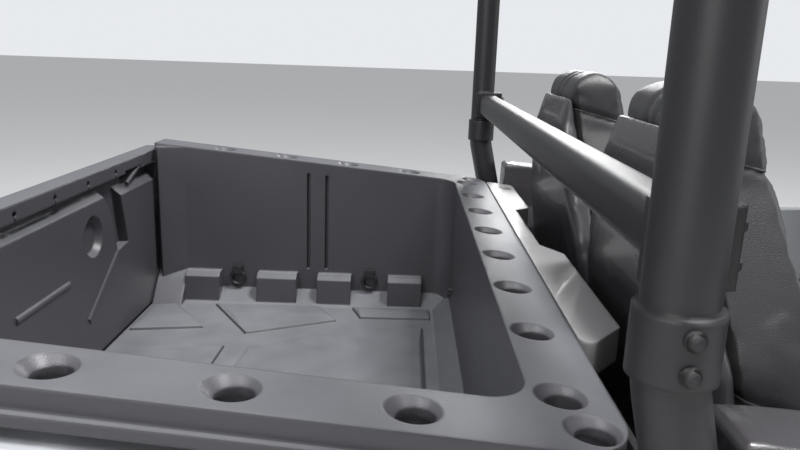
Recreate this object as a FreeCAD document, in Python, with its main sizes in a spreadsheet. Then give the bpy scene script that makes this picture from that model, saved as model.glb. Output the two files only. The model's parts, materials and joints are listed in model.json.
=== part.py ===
"""A two-seat side-by-side utility vehicle with a dump bed, in millimetres.

X points forward, Y to the vehicle's left and Z up. The origin is on the ground, under the
middle of the vehicle. The bed's side rails rise to the tailgate while its floor is level, so
heights along a rail come from rail_height(x).
"""

import FreeCAD, Part
import math
import os
import re

import Sketcher
from FreeCAD import Placement, Rotation, Vector

# Each row: alias, size in millimetres (degrees where the name ends in _angle) or a formula of the
# sizes above it, what it is.
SIZES = (
    ("front_axle", 1100, "front axle ahead of the origin"),
    ("rear_axle", 1010, "rear axle behind the origin"),
    ("tyre_radius", 381, "outer radius of a tyre, lug tips included"),
    ("tyre_width", 250, "width of a tyre"),
    ("tyre_centre", 680, "middle of a tyre from the centreline"),
    ("lug_height", 14, "height of the tread's lugs"),
    ("lug_count", 18, "lugs along each shoulder of a tyre"),
    ("rim_radius", 178, "bead seat radius of a rim"),
    ("rim_width", 200, "width of a rim's barrel"),
    ("rim_wall", 7, "wall of a rim's barrel"),
    ("rim_lip", 14, "height of a rim's outer lips"),
    ("rim_dish", 42, "spoke disc inboard of the rim's outer edge"),
    ("rim_disc", 16, "thickness of the spoke disc"),
    ("hub_radius", 44, "radius of a rim's centre boss"),
    ("spoke_window", 78, "radial length of a window between spokes"),
    ("kingpin", 572, "steering axis from the centreline"),
    ("ball_gap", 6, "clearance between an arm's end and its knuckle"),
    ("axle_shaft_radius", 15, "radius of a half shaft"),
    ("boot_radius", 34, "radius of a half shaft's rubber boot"),
    ("arm_radius", 14, "radius of a suspension arm's tube"),
    ("pivot_radius", 20, "radius of an arm's inner pivot barrel"),
    ("knob_radius", 17, "radius of an arm's ball end"),
    ("joint_radius", 30, "radius of the half shaft's ball joint inside a knuckle"),
    ("arm_spread", 125, "half the distance between a lower arm's inner pivots"),
    ("upper_spread", 58, "half the distance between an upper arm's inner pivots"),
    ("lower_arm_height", 312, "height of a lower arm's outer end"),
    ("upper_arm_height", 462, "height of an upper arm's outer end"),
    ("spring_radius", 41, "outer radius of a coil spring"),
    ("spring_wire", 6, "radius of the spring's wire"),
    ("damper_radius", 19, "radius of a damper's body"),
    ("frame_radius", 22, "radius of the frame's long tubes"),
    ("weld_step", 3, "frame's cross tubes are thinner in radius by this"),
    ("frame_half", 150, "lower frame rails from the centreline"),
    ("frame_height", 368, "height of the lower frame rails' axes"),
    ("case_lift", "=frame_height - tyre_radius + 75", "half shafts' inner ends above the wheel axis"),
    ("frame_nose", 1372, "front end of the lower frame rails"),
    ("tower_half", 205, "upper front frame rails from the centreline"),
    ("tower_height", 840, "height of the upper front frame rails"),
    ("skid_thick", 5, "thickness of the skid plate"),
    ("outrigger_front", 560, "front outrigger ahead of the origin"),
    ("bed_rail_half", 285, "rear frame rails under the bed from the centreline"),
    ("floor_top", 850, "height of the bed's floor"),
    ("floor_thick", 24, "thickness of the bed's floor"),
    ("hole_row", 590, "row of holes in the bed's front rail, behind the origin"),
    ("hole_pitch", 160, "distance between the front rail's holes"),
    ("side_pitch", 157, "distance between a side rail's holes"),
    ("side_hole_half", 619, "side rail holes from the centreline"),
    ("side_hole_lead", 16, "first side hole ahead of the front row"),
    ("hole_radius", 18, "radius of a rail hole"),
    ("hole_dish", 8, "width of the rounded edge of a rail hole"),
    ("rail_depth_front", 326, "bed floor to rail top at the front row of holes"),
    ("rail_angle", 5.2, "slope of the side rails, rising to the rear"),
    ("bed_length", 751, "bed floor from front wall to tailgate"),
    ("front_wall_set", 33, "front wall's inner face behind the row of holes"),
    ("bed_half", 579, "inner faces of the side walls from the centreline"),
    ("rail_half", 659, "outer edge of the side rails from the centreline"),
    ("rail_front", 48, "front edge of the tub ahead of the row of holes"),
    ("rail_thick", 17, "depth of a rail's outer lip"),
    ("band_drop", 34, "foot of the second lip below the rail top"),
    ("band_set", 7, "second lip stands out past the first"),
    ("wall_thick", 19, "thickness of the bed's walls"),
    ("corner_radius", 46, "rounded upright corners of the bed's inside"),
    ("toe_height", 74, "height of the boxes along the foot of a side wall"),
    ("toe_depth", 34, "how far those boxes stand out from the wall"),
    ("channel_width", 46, "width of the upright channel in a side wall"),
    ("channel_depth", 9, "depth of that channel"),
    ("plate_step", 5, "height of the steep edge of the raised plates on the bed's floor"),
    ("plate_top", 9, "height of those plates at their creases"),
    ("tailgate_thick", 45, "thickness of the tailgate"),
    ("tailgate_skin", 24, "thickness of the tailgate above its lower panel"),
    ("tailgate_drop", 18, "top of the tailgate below the rail line"),
    ("tailgate_gap", 3, "gap between the tailgate and the bed"),
    ("cup_radius", 43, "radius of a cup recess in the tailgate"),
    ("cup_offset", 212, "cup recesses from the centreline"),
    ("bed_hinge_back", 1330, "bed hinge behind the origin"),
    ("frame_tail", "=bed_hinge_back + 5", "rear end of the lower frame rails, under the bed's hinge"),
    ("running_gap", 0.3, "gap between faces that slide or turn on each other"),
    ("post_half", 700, "rear cage posts from the centreline at the rail"),
    ("bracket_thick", 8, "thickness of the cross bar's end brackets"),
    ("post_set", 40, "rear cage posts ahead of the row of holes"),
    ("cage_radius", 28, "radius of the cage's tubes"),
    ("cage_top", 1905, "height of the cage's top tubes"),
    ("cage_roof_half", 600, "roof rails from the centreline"),
    ("cage_roof_front", 130, "front of the roof rails ahead of the origin"),
    ("cage_bend", 120, "bend radius of the cage's tubes"),
    ("cross_bar_height", 1360, "height of the bar behind the seats"),
    ("seat_offset", 275, "middle of a seat from the centreline"),
    ("seat_width", 530, "width of a seat"),
    ("seat_base_top", 705, "top of the seats' base"),
    ("panel_wall", 6, "thickness of a moulded body panel"),
    ("cab_half", "=post_half - 100", "cab floor from the centreline"),
    ("sill_half", "=post_half - 16", "outer face of the sills from the centreline"),
    ("sill_top", "=frame_height + 132", "top of the sills"),
    ("door_half", "=post_half + 12", "middle of a door's panel from the centreline"),
    ("door_thick", 34, "thickness of a door"),
    ("door_front", 566, "front edge of a door ahead of the origin"),
    ("door_pin_lead", 16, "door's hinge axis ahead of its front edge"),
    ("door_rear", 340, "rear edge of a door behind the origin"),
    ("door_bottom", 512, "bottom edge of a door"),
    ("door_top", 1118, "top edge of a door at its front"),
    ("door_pin_radius", 8, "radius of a door's hinge barrel"),
    ("fender_half", 806, "outer edge of the front fenders from the centreline"),
    ("arch_radius", 455, "radius of a wheel arch"),
    ("hood_half", 402, "half width of the hood at the front fenders"),
    ("nose", 1440, "front of the grille ahead of the origin"),
    ("bumper_front", 1500, "front of the bumper ahead of the origin"),
    ("bumper_radius", 21, "radius of the bumper's tube"),
    ("steering_reach", 250, "middle of the steering wheel ahead of the origin"),
    ("steering_height", 1075, "height of the steering wheel's middle"),
    ("steering_angle", 32, "tilt of the steering column above level"),
    ("steering_radius", 172, "radius of the steering wheel's rim"),
    ("steering_grip", 14, "radius of the steering wheel's grip"),
    ("receiver_size", 64, "outside of the square hitch receiver"),
    ("receiver_bore", 51, "inside of the square hitch receiver"),
    ("receiver_pin_radius", 8, "radius of the receiver's cross-pin hole"),
    ("receiver_out", 165, "receiver's mouth behind the lower frame rails' rear end"),
)

DOC = FreeCAD.newDocument("side_by_side")
SHEET = DOC.addObject("Spreadsheet::Sheet", "sizes")
for row, (alias, size, note) in enumerate(SIZES, start=1):
    SHEET.set(f"A{row}", note)
    SHEET.set(f"B{row}", str(size))
    SHEET.setAlias(f"B{row}", alias)
DOC.recompute()

NODES = []


def mm(alias):
    """Return one driving size from the sheet."""
    return float(getattr(SHEET, alias))


def keep(obj, label):
    """Mark a document object as one sub-part that is written to its own file."""
    obj.Label = label
    NODES.append(obj)
    return obj


def feature(label, shape):
    """Hold a shape made with Part's functions as a sub-part."""
    obj = DOC.addObject("Part::Feature", label)
    obj.Shape = shape
    return keep(obj, label)


def bind(obj, formulas):
    """Bind an object's properties to formulas on the sheet."""
    for name, formula in formulas.items():
        obj.setExpression(name, formula)
    return obj


def sized(formula):
    """Put the sheet's name before each alias in a formula."""
    words = "|".join(row[0] for row in SIZES)
    return re.sub(rf"(?<![\w.])({words})(?!\w)", r"sizes.\1", formula)


def value(formula):
    """Work a formula of aliases out as a number, through a scratch cell of the sheet."""
    SHEET.set("D1", "=" + formula)
    SHEET.recompute()
    return float(SHEET.get("D1"))


def place(plane, u, v, w):
    """Turn a point of a drawing plane and its distance from the plane into a vector."""
    return {"xz": Vector(u, w, v), "xy": Vector(u, v, w), "yz": Vector(w, u, v)}[plane]


def outline(points, plane, level, radius=0.0):
    """Draw a closed polygon on a plane, with its corners rounded to one radius."""
    count = len(points)
    flat = [Vector(u, v, 0) for u, v in points]
    edges, ends = [], []
    for index in range(count):
        here, before, after = flat[index], flat[index - 1], flat[(index + 1) % count]
        back, ahead = before - here, after - here
        turn = back.getAngle(ahead)
        reach = min(0.46 * back.Length, 0.46 * ahead.Length)
        if radius and abs(math.pi - turn) > 0.02:
            reach = min(reach, radius / math.tan(turn / 2))
            true_radius = reach * math.tan(turn / 2)
            start = here + back.normalize() * reach
            stop = here + ahead.normalize() * reach
            inward = (back + ahead).normalize()
            centre = here + inward * (true_radius / math.sin(turn / 2))
            middle = centre + (here - centre).normalize() * true_radius
            ends.append((start, middle, stop))
        else:
            ends.append((here, None, here))
    for index, (start, middle, stop) in enumerate(ends):
        turned = [place(plane, p.x, p.y, level) if p else None for p in (start, middle, stop)]
        if middle:
            edges.append(Part.Arc(*turned).toShape())
        nxt = ends[(index + 1) % count][0]
        edges.append(Part.LineSegment(turned[2], place(plane, nxt.x, nxt.y, level)).toShape())
    return Part.Wire(edges)


def prism(points, plane, low, high, radius=0.0):
    """Extrude a rounded polygon from low to high across its plane."""
    face = Part.Face(outline(points, plane, low, radius))
    return face.extrude(place(plane, 0, 0, high - low))


def block(x, y, z):
    """Make a box from its ranges along the three axes."""
    return Part.makeBox(x[1] - x[0], y[1] - y[0], z[1] - z[0], Vector(x[0], y[0], z[0]))


def rod(start, stop, radius):
    """Make a round bar between two points."""
    start, stop = Vector(*start), Vector(*stop)
    return Part.makeCylinder(radius, (stop - start).Length, start, stop - start)


def tube(points, radius, bend):
    """Sweep a round bar along straight runs joined by arcs."""
    path = [Vector(*p) for p in points]
    edges, last = [], path[0]
    for before, here, after in zip(path, path[1:], path[2:]):
        back, ahead = before - here, after - here
        turn = back.getAngle(ahead)
        reach = min(bend / math.tan(turn / 2), 0.45 * back.Length, 0.45 * ahead.Length)
        start = here + back.normalize() * reach
        stop = here + ahead.normalize() * reach
        inward = (back + ahead).normalize()
        true_radius = reach * math.tan(turn / 2)
        centre = here + inward * (true_radius / math.sin(turn / 2))
        middle = centre + (here - centre).normalize() * true_radius
        edges.append(Part.LineSegment(last, start).toShape())
        edges.append(Part.Arc(start, middle, stop).toShape())
        last = stop
    edges.append(Part.LineSegment(last, path[-1]).toShape())
    section = Part.Wire(Part.makeCircle(radius, path[0], path[1] - path[0]))
    return Part.Wire(edges).makePipeShell([section], True, True)


def fuse(shapes):
    """Fuse a list of shapes into one."""
    first, *rest = shapes
    return first.multiFuse(rest).removeSplitter() if rest else first


def mirrored(shape):
    """Mirror a shape across the vehicle's centreline."""
    return shape.mirror(Vector(0, 0, 0), Vector(0, 1, 0))


def both_sides(shape):
    """Put a shape and its mirror image side by side as two solids."""
    return Part.makeCompound([shape, mirrored(shape)])


def sided(label, shape):
    """Keep a left-hand shape and its mirror image as two sub-parts."""
    feature(f"{label}_left", shape)
    feature(f"{label}_right", mirrored(shape))


def rail_height(x):
    """Return the height of the rail line over a point along the vehicle."""
    ahead = x + mm("hole_row")
    return mm("floor_top") + mm("rail_depth_front") - ahead * math.tan(math.radians(mm("rail_angle")))


HOLE_X = -mm("hole_row")
POST_X = HOLE_X + mm("post_set")
FOOT_X = POST_X + 28
WALL_X = HOLE_X - mm("front_wall_set")
GATE_X = WALL_X - mm("bed_length")
GATE_BACK = GATE_X - mm("tailgate_thick")
FLOOR_Z = mm("floor_top")
FLOOR_UNDER = FLOOR_Z - mm("floor_thick")
BED_RAIL_Z = FLOOR_UNDER - mm("running_gap") - mm("frame_radius")
TAILGATE_TOP = rail_height(GATE_X) - mm("tailgate_drop")
DOOR_PIN_Y = mm("door_half") - mm("door_thick") / 2 - 4
DOOR_PINS = (mm("door_bottom") + 90, mm("door_top") - 170)
GATE_PIN = (GATE_BACK + 12, FLOOR_UNDER - 8)
GATE_HINGES = (-430, 0, 430)
AXLES = {"front": mm("front_axle"), "rear": -mm("rear_axle")}
THIN = mm("frame_radius") - mm("weld_step")
CASE_Z = mm("tyre_radius") + mm("case_lift")
ARM_Y = mm("frame_half") + mm("frame_radius") + mm("pivot_radius") + mm("running_gap")
CAB_FLOOR = mm("frame_height") + mm("frame_radius") + mm("running_gap")
DASH_FRONT = mm("outrigger_front") + 66
DASH_TUBE = mm("tower_height") + 22
QUARTER_X = FOOT_X + mm("cage_radius") + 4
# Raised plates of the bed's floor: the foot's corners, then the crease's, as (x, y); a plate that stays
# left of the centreline is repeated on the right.
FLOOR_PLATES = (
    (((-1362, 490), (-1305, 502), (-1200, 359), (-1362, 330)), ((-1350, 480), (-1312, 490), (-1252, 424), (-1350, 396))),
    (((-1213, 512), (-950, 518), (-899, 428), (-1098, 331)), ((-1190, 502), (-956, 508), (-922, 449), (-1156, 444))),
    (((-869, 518), (-672, 518), (-672, 457), (-845, 451)), ((-856, 508), (-682, 508), (-682, 486), (-848, 484))),
    (((-1328, 207), (-1126, 262), (-1132, 0), (-1126, -262), (-1328, -207), (-1290, 0)),
     ((-1310, 190), (-1142, 236), (-1146, 0), (-1142, -236), (-1310, -190), (-1276, 0))),
    (((-1075, 256), (-917, 347), (-690, 405), (-690, -405), (-917, -347), (-1075, -256), (-1098, 0)),
     ((-1058, 206), (-803, 272), (-702, 296), (-702, -296), (-803, -272), (-1058, -206), (-1070, 0))),
)
CORNERS = (("front_left", 1, 1), ("front_right", 1, -1), ("rear_left", -1, 1), ("rear_right", -1, -1))


def section_sketch(body, role, points):
    """Draw a closed outline on one of a body's own planes, each corner set by two formulas."""
    sketch = body.newObject("Sketcher::SketchObject", body.Name + "_outline")
    plane = next(o for o in body.Origin.OriginFeatures if o.Role == role)
    sketch.AttachmentSupport = (plane, [""])
    sketch.MapMode = "FlatFace"
    spots = [Vector(value(u), value(v), 0) for u, v in points]
    for start, stop in zip(spots, spots[1:] + spots[:1]):
        sketch.addGeometry(Part.LineSegment(start, stop))
    for index in range(len(spots)):
        sketch.addConstraint(Sketcher.Constraint("Coincident", index, 2, (index + 1) % len(spots), 1))
    for index, (u, v) in enumerate(points):
        for kind, size, formula in (("DistanceX", spots[index].x, u), ("DistanceY", spots[index].y, v)):
            number = sketch.addConstraint(Sketcher.Constraint(kind, -1, 1, index, 1, size))
            sketch.setExpression(f"Constraints[{number}]", sized(formula))
    return sketch


def turned_body(label, points, centre):
    """Revolve an outline, drawn as (along the axle, radius), about an axle."""
    body = DOC.addObject("PartDesign::Body", label)
    sketch = section_sketch(body, "XY_Plane", points)
    spin = body.newObject("PartDesign::Revolution", label + "_turned")
    spin.Profile = sketch
    spin.ReferenceAxis = (sketch, ["H_Axis"])
    spin.Angle = 360
    body.Placement = Placement(Vector(*centre), Rotation(Vector(0, 0, 1), 90))
    return keep(body, label), spin


def make_wheels():
    """Make four rims with cut spokes, and their tyres."""
    out = "rim_width / 2"
    for corner, ahead, side in CORNERS:
        centre = (AXLES["front"] if ahead > 0 else AXLES["rear"], side * mm("tyre_centre"), mm("tyre_radius"))
        face = f"({out} - rim_dish)"
        rim_points = (
            (f"-{out}", "rim_radius - rim_wall"), (f"-{out}", "rim_radius + rim_lip"),
            (f"-{out} + 8", "rim_radius + rim_lip"), (f"-{out} + 8", "rim_radius"),
            (f"{out} - 8", "rim_radius"), (f"{out} - 8", "rim_radius + rim_lip"),
            (out, "rim_radius + rim_lip"), (out, "rim_radius - rim_wall"),
            (f"{face}", "rim_radius - rim_wall - 22"), (f"{face} + 6", "hub_radius"),
            (f"{face} + 14", "hub_radius - 8"), (f"{face} + 14", "0"), (f"{face} - rim_disc - 16", "0"),
            (f"{face} - rim_disc - 16", "hub_radius"), (f"{face} - rim_disc", "hub_radius + 6"),
            (f"{face} - rim_disc", "rim_radius - rim_wall"),
        )
        if side < 0:
            rim_points = tuple((f"-({u})", v) for u, v in rim_points)
        body, spin = turned_body(f"rim_{corner}", rim_points, centre)
        window = body.newObject("Sketcher::SketchObject", f"window_{corner}")
        window.AttachmentSupport = (next(o for o in body.Origin.OriginFeatures if o.Role == "YZ_Plane"), [""])
        window.MapMode = "FlatFace"
        inner, outer = mm("hub_radius") + 14, mm("hub_radius") + 14 + mm("spoke_window")
        half_in, half_out = 11, 34
        spots = [Vector(-half_in, inner, 0), Vector(half_in, inner, 0), Vector(half_out, outer, 0),
                 Vector(-half_out, outer, 0)]
        for start, stop in zip(spots, spots[1:] + spots[:1]):
            window.addGeometry(Part.LineSegment(start, stop))
        for index in range(4):
            window.addConstraint(Sketcher.Constraint("Coincident", index, 2, (index + 1) % 4, 1))
        formulas = (("-11", "hub_radius + 14"), ("11", "hub_radius + 14"),
                    ("34", "hub_radius + 14 + spoke_window"), ("-34", "hub_radius + 14 + spoke_window"))
        for index, (u, v) in enumerate(formulas):
            for kind, size, formula in (("DistanceX", spots[index].x, u), ("DistanceY", spots[index].y, v)):
                number = window.addConstraint(Sketcher.Constraint(kind, -1, 1, index, 1, size))
                window.setExpression(f"Constraints[{number}]", sized(formula))
        DOC.recompute()
        pocket = body.newObject("PartDesign::Pocket", f"spokes_{corner}")
        pocket.Profile = window
        pocket.Type = "ThroughAll"
        pocket.Midplane = True
        DOC.recompute()
        ring = body.newObject("PartDesign::PolarPattern", f"ring_{corner}")
        ring.Originals = [pocket]
        ring.Axis = (next(o for o in body.Origin.OriginFeatures if o.Role == "X_Axis"), [""])
        ring.Angle = 360
        ring.Occurrences = 8
        body.Tip = ring


def make_tyres():
    """Make the four tyres: a many-sided carcass with staggered lugs out to the tread's radius."""
    sides, tread, half = 30, mm("tyre_radius"), mm("tyre_width") / 2
    low, seat = tread - mm("lug_height"), mm("rim_width") / 2 - 8 - mm("running_gap")
    bead = (mm("rim_radius") + mm("running_gap")) / math.cos(math.pi / sides)
    flange = mm("rim_radius") + mm("rim_lip")
    wall = [(seat, bead), (seat, flange + 4), (half - 10, flange + 30), (half, tread - 100), (half - 4, tread - 58),
            (half - 24, low - 8), (half - 66, low)]
    profile = wall + [(-y, radius) for y, radius in reversed(wall)]
    rings = [[Vector(radius * math.sin(turn), y, radius * math.cos(turn)) for y, radius in profile]
             for turn in (2 * math.pi * step / sides for step in range(sides))]
    faces = []
    for ring, after in zip(rings, rings[1:] + rings[:1]):
        for index in range(len(profile)):
            follow = (index + 1) % len(profile)
            faces.append(Part.Face(Part.makePolygon([ring[index], ring[follow], after[follow], after[index],
                                                     ring[index]])))
    carcass = Part.Solid(Part.Shell(faces))
    if carcass.Volume < 0:
        carcass.reverse()
    rows = ((6, 0, 17, low - 12, tread), (half - 55, 24, 15, low - 14, tread - 2),
            (half - 12, 30, 18, tread - 66, tread - 24))    # y, skew, half width, root, crest
    cuts = [Part.makePolygon([Vector(skew - wide, y, root), Vector(skew + wide, y, root),
                              Vector(skew + wide, y, crest), Vector(skew - wide, y, crest),
                              Vector(skew - wide, y, root)]) for y, skew, wide, root, crest in rows]
    lug = Part.makeLoft(cuts, True, True)
    lugs = []
    for step in range(int(mm("lug_count"))):
        for shape, lead in ((lug, 0.0), (lug.mirror(Vector(), Vector(0, 1, 0)), 0.5)):
            turned = shape.copy()
            turned.rotate(Vector(), Vector(0, 1, 0), 360 * (step + lead) / mm("lug_count"))
            lugs.append(turned)
    tyre = carcass.fuse(lugs)
    for corner, ahead, side in CORNERS:
        placed = tyre.copy() if side > 0 else tyre.mirror(Vector(), Vector(0, 1, 0))
        placed.translate(Vector(AXLES["front" if ahead > 0 else "rear"], side * mm("tyre_centre"), tread))
        feature(f"tyre_{corner}", placed)


def make_axle_ends():
    """Make the knuckles that carry the wheels, steered in front and fixed behind."""
    hub_face = mm("tyre_centre") + mm("rim_width") / 2 - mm("rim_dish") - mm("rim_disc") - 16
    king, z, gap = mm("kingpin"), mm("tyre_radius"), mm("running_gap")
    low = mm("lower_arm_height") - mm("knob_radius") - gap
    high = mm("upper_arm_height") + mm("knob_radius") + gap
    for end, x in AXLES.items():
        upright = prism([(x - 30, low - 10), (x + 30, low - 10), (x + 44, z), (x + 26, high + 10),
                         (x - 26, high + 10), (x - 44, z)], "xz",
                        king + mm("knob_radius") + mm("ball_gap"), king + 46, 8)
        pieces = [upright, rod((x, king, z), (x, hub_face - gap, z), 26),
                  Part.makeSphere(mm("joint_radius"), Vector(x, king, z)), rod((x, king + 30, z), (x, king + 60, z), 52)]
        for level in (low - 10, high):
            pieces.append(Part.makeCylinder(12, 10, Vector(x, king, level)))
            pieces.append(block((x - 14, x + 14), (king, king + 40), (level, level + 10)))
        if end == "front":
            pieces.append(block((x - 120, x - 30), (king + 26, king + 42), (z - 14, z + 14)))
            sided("knuckle_front", fuse(pieces))
        else:
            feature("rear_hubs", both_sides(fuse(pieces)))


def wishbone(x, spread, inner_z, outer_z):
    """Make one A-shaped arm from its two inner pivots to the knuckle."""
    end = (x, mm("kingpin"), outer_z)
    pieces = [Part.makeSphere(mm("knob_radius"), Vector(*end))]
    for way in (-1, 1):
        pivot_x = x + way * spread
        pieces.append(rod((pivot_x, ARM_Y, inner_z), end, mm("arm_radius")))
        pieces.append(rod((pivot_x - 24, ARM_Y, inner_z), (pivot_x + 24, ARM_Y, inner_z), mm("pivot_radius")))
    return fuse(pieces)


def make_shock(x, way, head_y, head_z):
    """Make one coil-over damper, its foot beside the lower arm's leg."""
    foot_y, eye = 392, 24
    share = (mm("kingpin") - foot_y + eye) / (mm("kingpin") - ARM_Y)
    slant = math.hypot(mm("arm_spread"), mm("kingpin") - ARM_Y) / (mm("kingpin") - ARM_Y)
    clear = share * mm("arm_spread") + mm("arm_radius") * slant + mm("running_gap") + 22
    leg_drop = (mm("frame_height") + 6 - mm("lower_arm_height")) * share
    foot = Vector(x + way * clear, foot_y, mm("lower_arm_height") + leg_drop)
    head = Vector(x + way * clear, head_y, head_z)
    along = head - foot
    core, coils = mm("spring_radius") - 2 * mm("spring_wire"), 6
    start, pitch = 0.42 * along.Length, 0.5 * along.Length / coils
    profile = [(0, 0), (mm("damper_radius"), 0), (mm("damper_radius"), start - 8), (mm("spring_radius"), start - 8)]
    for coil in range(coils):
        profile += [(core, start + coil * pitch), (mm("spring_radius"), start + (coil + 0.5) * pitch)]
    profile += [(core, start + coils * pitch), (mm("damper_radius"), start + coils * pitch),
                (mm("damper_radius"), along.Length), (0, along.Length)]
    wire = Part.makePolygon([Vector(r, 0, z) for r, z in profile + profile[:1]])
    damper = Part.Face(wire).revolve(Vector(), Vector(0, 0, 1), 360)
    damper.Placement = Placement(foot, Rotation(Vector(0, 0, 1), along))
    pieces = [damper]
    for spot in (foot, head):
        pieces.append(Part.makeCylinder(eye, 44, spot - Vector(22, 0, 0), Vector(1, 0, 0)))
    return fuse(pieces)


def make_suspension():
    """Make the arms, coil-over dampers and half shafts at each end."""
    beside = mm("frame_radius") + 24 + mm("running_gap")
    heads = {"front": (1, mm("tower_half") + beside, tower_line(AXLES["front"] + 98)),
             "rear": (-1, mm("bed_rail_half") + beside, BED_RAIL_Z - 12)}
    shafts = []
    for end, x in AXLES.items():
        lower = wishbone(x, mm("arm_spread"), mm("frame_height") + 6, mm("lower_arm_height"))
        upper = wishbone(x, mm("upper_spread"), mm("frame_height") + 178, mm("upper_arm_height"))
        feature(f"{end}_arms", Part.makeCompound([lower, upper, mirrored(lower), mirrored(upper)]))
        feature(f"{end}_shocks", both_sides(make_shock(x, *heads[end])))
        inner = Vector(x, 126 + mm("running_gap"), CASE_Z)
        outer = Vector(x, mm("kingpin") - mm("joint_radius") - 3 * mm("running_gap"), mm("tyre_radius") + 4)
        along = outer - inner
        shaft = [Part.makeCylinder(mm("axle_shaft_radius"), along.Length, inner, along)]
        for start, wide, narrow in ((0.0, 34, 22), (0.82, 22, 28)):
            shaft.append(Part.makeCone(wide, narrow, 0.18 * along.Length, inner + along * start, along))
        trim = block((x - 60, x + 60), (inner.y, outer.y), (0, 900))
        shafts.append(fuse(shaft).common(trim))
    feature("half_shafts", Part.makeCompound([s for shaft in shafts for s in (shaft, mirrored(shaft))]))


def make_drive_line():
    """Make the engine, and the two gearcases with the shaft that joins the front one to it."""
    x_front, x_rear = AXLES["front"], AXLES["rear"]
    engine_front, engine_back = x_rear + 410, x_rear + 175
    base, mid = mm("frame_height") + mm("frame_radius") + mm("running_gap"), (engine_front + engine_back) / 2
    case = prism([(-150, base), (150, base), (150, base + 130), (96, base + 176), (-96, base + 176), (-150, base + 120)],
                 "yz", engine_back, engine_front, 14)
    pieces = [case, block((mid - 62, mid + 62), (-70, 82), (base + 170, base + 292)),
              prism([(mid - 74, base + 286), (mid + 74, base + 286), (mid + 60, base + 320), (mid - 60, base + 320)],
                    "xz", -84, 96, 8)]
    for step in range(5):
        pieces.append(block((mid - 78, mid + 78), (-86, 98), (base + 190 + 20 * step, base + 195 + 20 * step)))
    for x, z, radius, start, stop in ((mid - 48, base + 96, 66, 140, 186), (mid + 50, base + 96, 60, 140, 186),
                                      (mid, base + 92, 78, -196, -140), (mid + 84, base + 52, 30, -186, -140)):
        pieces.append(rod((x, start, z), (x, stop, z), radius))
    cover = prism([(mid - 98, base + 44), (mid + 98, base + 44), (mid + 98, base + 148), (mid - 98, base + 148)],
                  "xz", 186, 200, 46)
    for x in (engine_back + 20, engine_front - 80):
        for y in (-175, 125):
            pieces.append(block((x, x + 60), (y, y + 50), (base, base + 22)))
    feature("engine", fuse(pieces + [cover]))
    front_case = [rod((x_front, -126, CASE_Z), (x_front, 126, CASE_Z), 72),
                  rod((x_front - 150, 0, CASE_Z), (x_front, 0, CASE_Z), 46),
                  rod((engine_front, 0, CASE_Z), (x_front - 150, 0, CASE_Z), 20)]
    feature("front_drive", fuse(front_case))
    rear_case = [rod((x_rear, -126, CASE_Z), (x_rear, 126, CASE_Z), 84),
                 block((x_rear + 20, engine_back), (-110, 110), (CASE_Z - 40, CASE_Z + 150))]
    feature("rear_gearcase", fuse(rear_case))
    muffler = Part.makeCylinder(74, 280, Vector(-1235, -140, 650), Vector(0, 1, 0))
    pieces = [muffler, rod((-1235, 90, 650), (-1340, 90, 630), 24)]
    for y in (-90, 60):
        pieces.append(block((-1245, -1225), (y - 15, y + 15), (650, BED_RAIL_Z - THIN)))
    feature("muffler", fuse(pieces))


def tower_line(x):
    """Return the height of the upper front frame rail over a point along the vehicle."""
    return mm("tower_height") + 40 - (x - 700) * 0.18


def upright(x, side, top_y, top_z):
    """Make one leaning tube that stands on a frame rail's crest."""
    base_y, base_z = mm("frame_half"), mm("frame_height") + mm("frame_radius")
    lean = math.atan2(top_y - base_y, top_z - base_z)
    foot = base_z + THIN * math.sin(abs(lean)) + mm("running_gap")
    return rod((x, side * base_y, foot), (x, side * top_y, top_z), THIN)


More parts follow.
